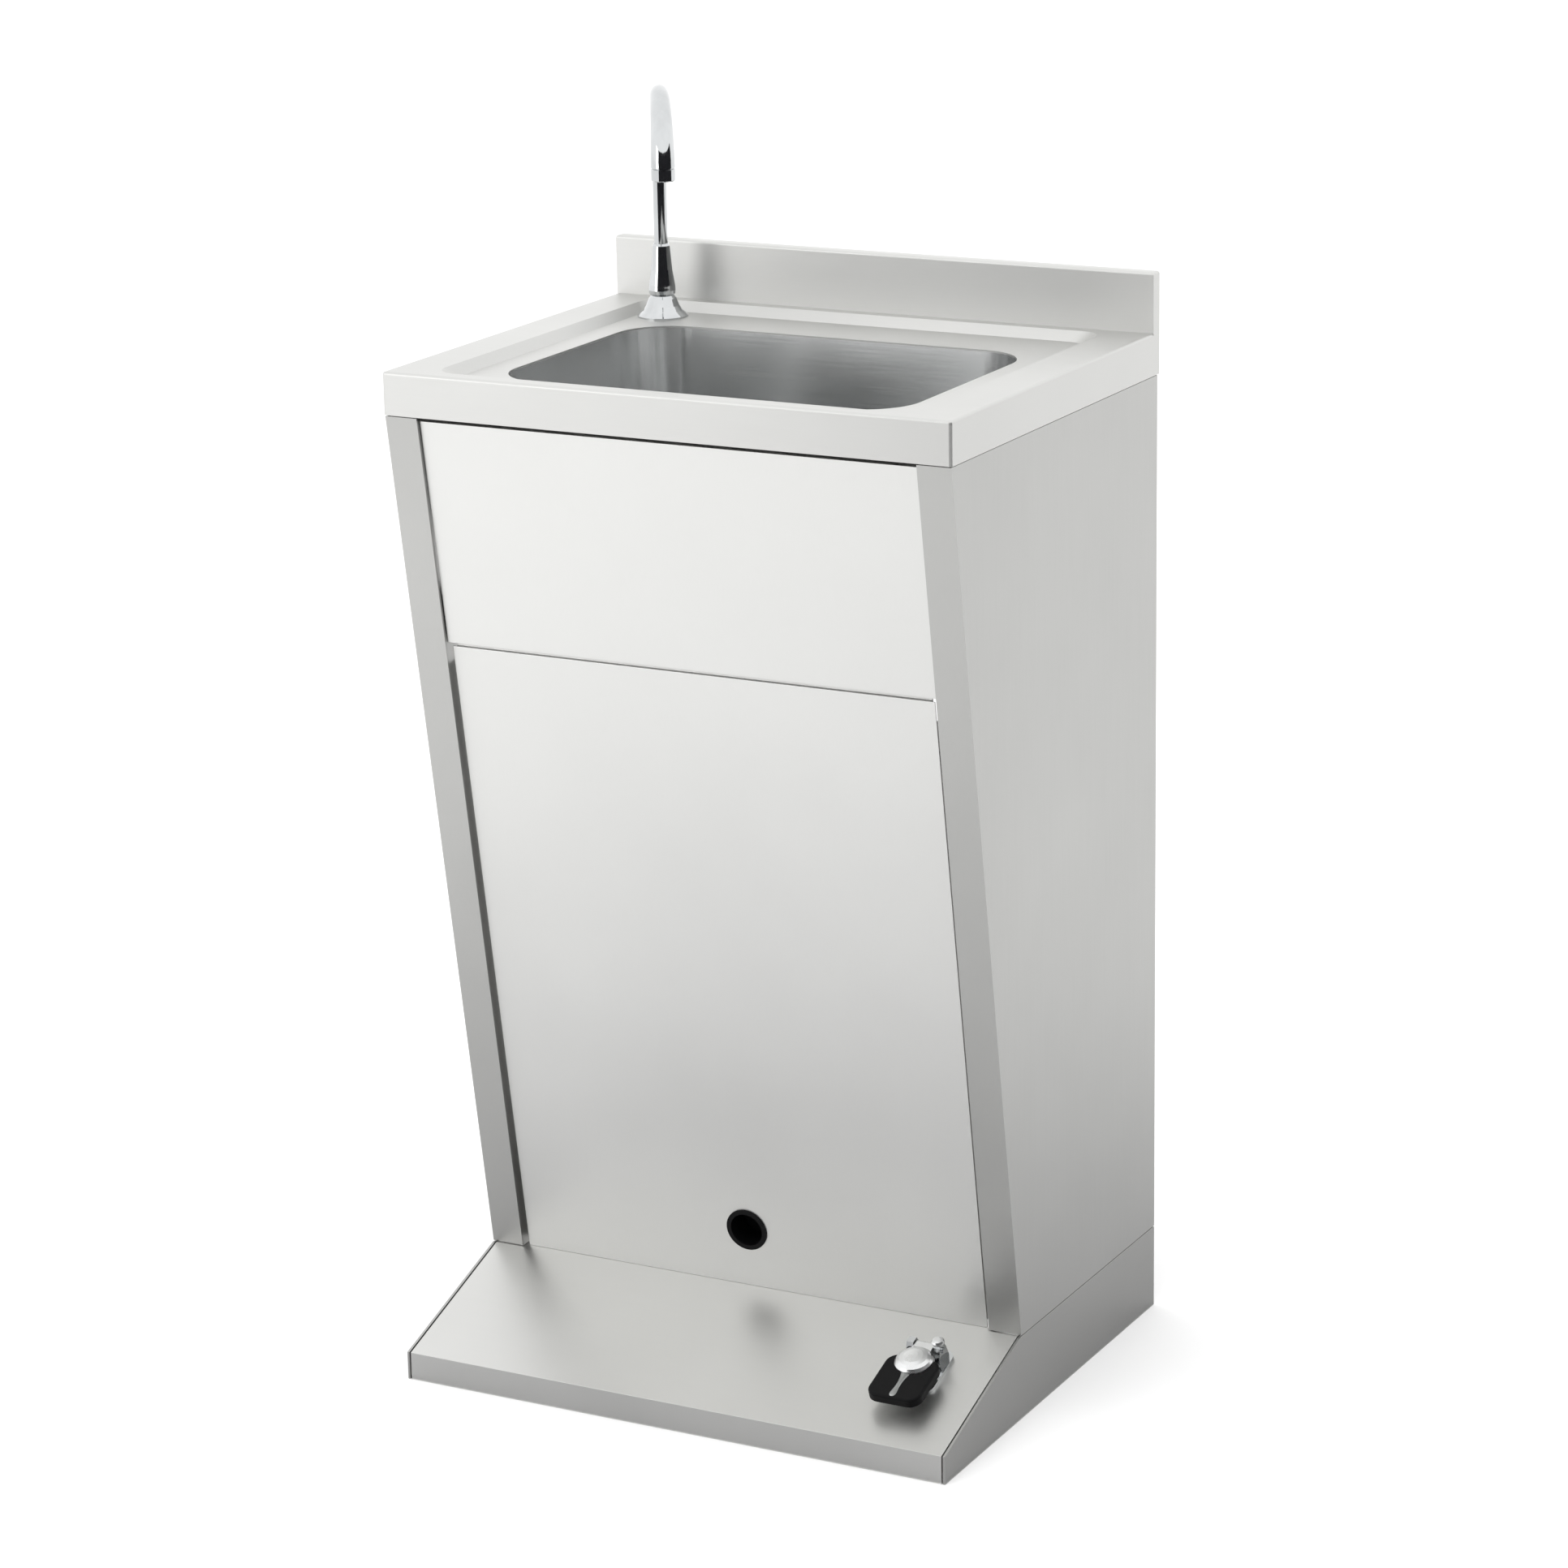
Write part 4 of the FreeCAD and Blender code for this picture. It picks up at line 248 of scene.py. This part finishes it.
for node_name, node_object in frame["nodes"].items():
    finish_node(node_name, node_object)
    if node_name in EASED:
        ease_edges(node_object)


def place_shape(name, shape, material):
    """Turn a finished shape into a named object of the scene, with one material."""
    mesh = bpy.data.meshes.new(name)
    shape.to_mesh(mesh)
    shape.free()
    thing = bpy.data.objects.new(name, mesh)
    bpy.context.scene.collection.objects.link(thing)
    mesh.materials.append(material)
    return thing


# --- Pedal crest -----------------------------------------------------------------------------

def pedal_place():
    """The pedal's own frame: over the valve, on the toe plate's slope."""
    hinge = next(joint for joint in frame["record"]["behaviour"]["joints"]
                 if joint["name"] == "pedal_press")
    turn = Matrix.Rotation(TOE_SLOPE, 4, "X")
    return Matrix.Translation(hinge["pos_m"]) @ turn @ Matrix.Translation(-HINGE_OFFSET)


def build_crest():
    """A waisted grey crest let into the black pad, from the dome to the pad's front edge: a painted
    highlight streak.
    """
    stations, across = 12, 8
    start, stop = -15.5 * MM, -44.5 * MM
    wide, waist, crown, sunk, thickness = 4.8 * MM, 2.2 * MM, 0.9 * MM, 0.3 * MM, 0.6 * MM
    shape = bmesh.new()
    rows = []
    for station in range(stations + 1):
        along = station / stations
        half = waist + (wide - waist) * (2 * along - 1) ** 2
        level = PAD_TOP - sunk - crown * max(0.0, 4 * along - 3) ** 2
        rows.append([shape.verts.new((
            half * side, start + (stop - start) * along,
            level + (crown + sunk) * (1 - side ** 2)))
            for side in (2 * step / across - 1 for step in range(across + 1))])
    for near, far in zip(rows, rows[1:]):
        for step in range(across):
            shape.faces.new((near[step], far[step], far[step + 1], near[step + 1]))
    under = bmesh.ops.extrude_face_region(shape, geom=shape.faces[:])
    bmesh.ops.translate(shape, vec=(0, 0, -thickness),
                        verts=[v for v in under["geom"] if isinstance(v, bmesh.types.BMVert)])
    bmesh.ops.recalc_face_normals(shape, faces=shape.faces[:])
    shape.transform(pedal_place())
    for face in shape.faces:
        face.smooth = True
    # The crest's grey tone is a painted highlight on the black pad.
    crest = place_shape("pedal_highlight_streak", shape, HIGHLIGHT_STREAK)
    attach(crest, "pedal")


build_crest()


# --- Studio: floor, light and camera --------------------------------------------------------

def build_floor():
    """A plain pale floor, large enough to fill every view."""
    shape = bmesh.new()
    bmesh.ops.create_grid(shape, x_segments=1, y_segments=1, size=30)
    material, tree, surface = start_material("matt_white_floor", Roughness=0.9)
    paint = noise(tree, 400)
    tree.links.new(tint(tree, paint, "#F6F6F6", "#F9F9F9"), surface.inputs["Base Color"])
    place_shape("studio_floor", shape, material)


def build_world():
    """An even white surround, as in a light tent."""
    world = bpy.data.worlds.new("studio")
    bpy.context.scene.world = world
    world.use_nodes = True
    surround = world.node_tree.nodes["Background"]
    surround.inputs["Color"].default_value = (1, 1, 1, 1)
    surround.inputs["Strength"].default_value = 1.32


def show_only_mirrored(thing):
    """Leave a studio surface to reflections: nothing sees it, and it gives no shade."""
    thing.visible_camera = False
    thing.visible_diffuse = False
    thing.visible_shadow = False


def build_dark_card():
    """A curved dark card in front, seen only in reflections: it draws the dark core on chrome."""
    radius, low, high = 2.65, 0.01, 1.9
    start, stop, steps = -17, 115, 33
    shape = bmesh.new()
    turns = [math.radians(start + (stop - start) * step / steps) for step in range(steps + 1)]
    rims = [[shape.verts.new((radius * math.sin(turn), -radius * math.cos(turn), level))
             for turn in turns] for level in (low, high)]
    for step in range(steps):
        shape.faces.new((rims[0][step], rims[0][step + 1], rims[1][step + 1], rims[1][step]))
    material, tree, surface = start_material("black_velvet_card", Roughness=1.0)
    pile = noise(tree, 3)
    tree.links.new(tint(tree, pile, "#101014", "#16161A"), surface.inputs["Base Color"])
    card = place_shape("studio_dark_card", shape, material)
    show_only_mirrored(card)


def build_floor_pool():
    """A round of floor with painted shade, dark near the base and pale further out, seen only in
    reflections: it darkens the foot of the sheets.
    """
    shape = bmesh.new()
    bmesh.ops.create_circle(shape, cap_ends=True, segments=64, radius=2.4,
                            matrix=Matrix.Translation((0, 0, MM)))
    material, tree, surface = start_material("shaded_floor", Roughness=1.0)
    place = add(tree, "ShaderNodeTexCoord")
    reach = add(tree, "ShaderNodeVectorMath", operation="LENGTH",
                links={0: place.outputs["Object"]})
    fade = add(tree, "ShaderNodeMapRange", interpolation_type="SMOOTHSTEP",
               inputs={"From Min": 0.15, "From Max": 1.5}, links={"Value": reach.outputs["Value"]})
    # Painted shade: the floor's colour darkens towards the base.
    tree.links.new(tint(tree, fade.outputs["Result"], "#BABABB", "#F2F2F2"),
                   surface.inputs["Base Color"])
    pool = place_shape("studio_floor_pool", shape, material)
    show_only_mirrored(pool)


def build_light(name, place, target, size, power, in_gloss):
    """A square soft box; in_gloss says whether the metals mirror it."""
    lamp = bpy.data.lights.new(name, "AREA")
    lamp.shape = "SQUARE"
    lamp.size = size
    lamp.energy = power
    thing = bpy.data.objects.new(name, lamp)
    bpy.context.scene.collection.objects.link(thing)
    thing.visible_glossy = in_gloss
    thing.visible_camera = False
    thing.location = place
    thing.rotation_euler = (Vector(target) - Vector(place)).to_track_quat("-Z", "Y").to_euler()


def build_camera():
    """A long lens from the front right, looking slightly down, with the object upright."""
    heading, down, roll = math.radians(27.94), math.radians(16.02), -0.0186
    camera = bpy.data.cameras.new("camera")
    camera.lens = 109.4
    camera.sensor_width = 36
    thing = bpy.data.objects.new("camera", camera)
    bpy.context.scene.collection.objects.link(thing)
    turn = (Matrix.Rotation(heading, 4, "Z") @ Matrix.Rotation(math.pi / 2 - down, 4, "X")
            @ Matrix.Rotation(roll, 4, "Z"))
    thing.matrix_world = Matrix.Translation((1.7668, -3.3187, 1.5712)) @ turn
    bpy.context.scene.camera = thing


build_floor()
build_world()
build_dark_card()
build_floor_pool()
build_light("top_softbox", (0.2, -0.6, 3.2), (0, 0, 0.8), 1.6, 18, False)
build_light("front_softbox", (-1.4, -2.6, 1.35), (0, 0, 0.85), 1.3, 9, True)
build_camera()
bpy.context.scene.view_settings.view_transform = "Standard"
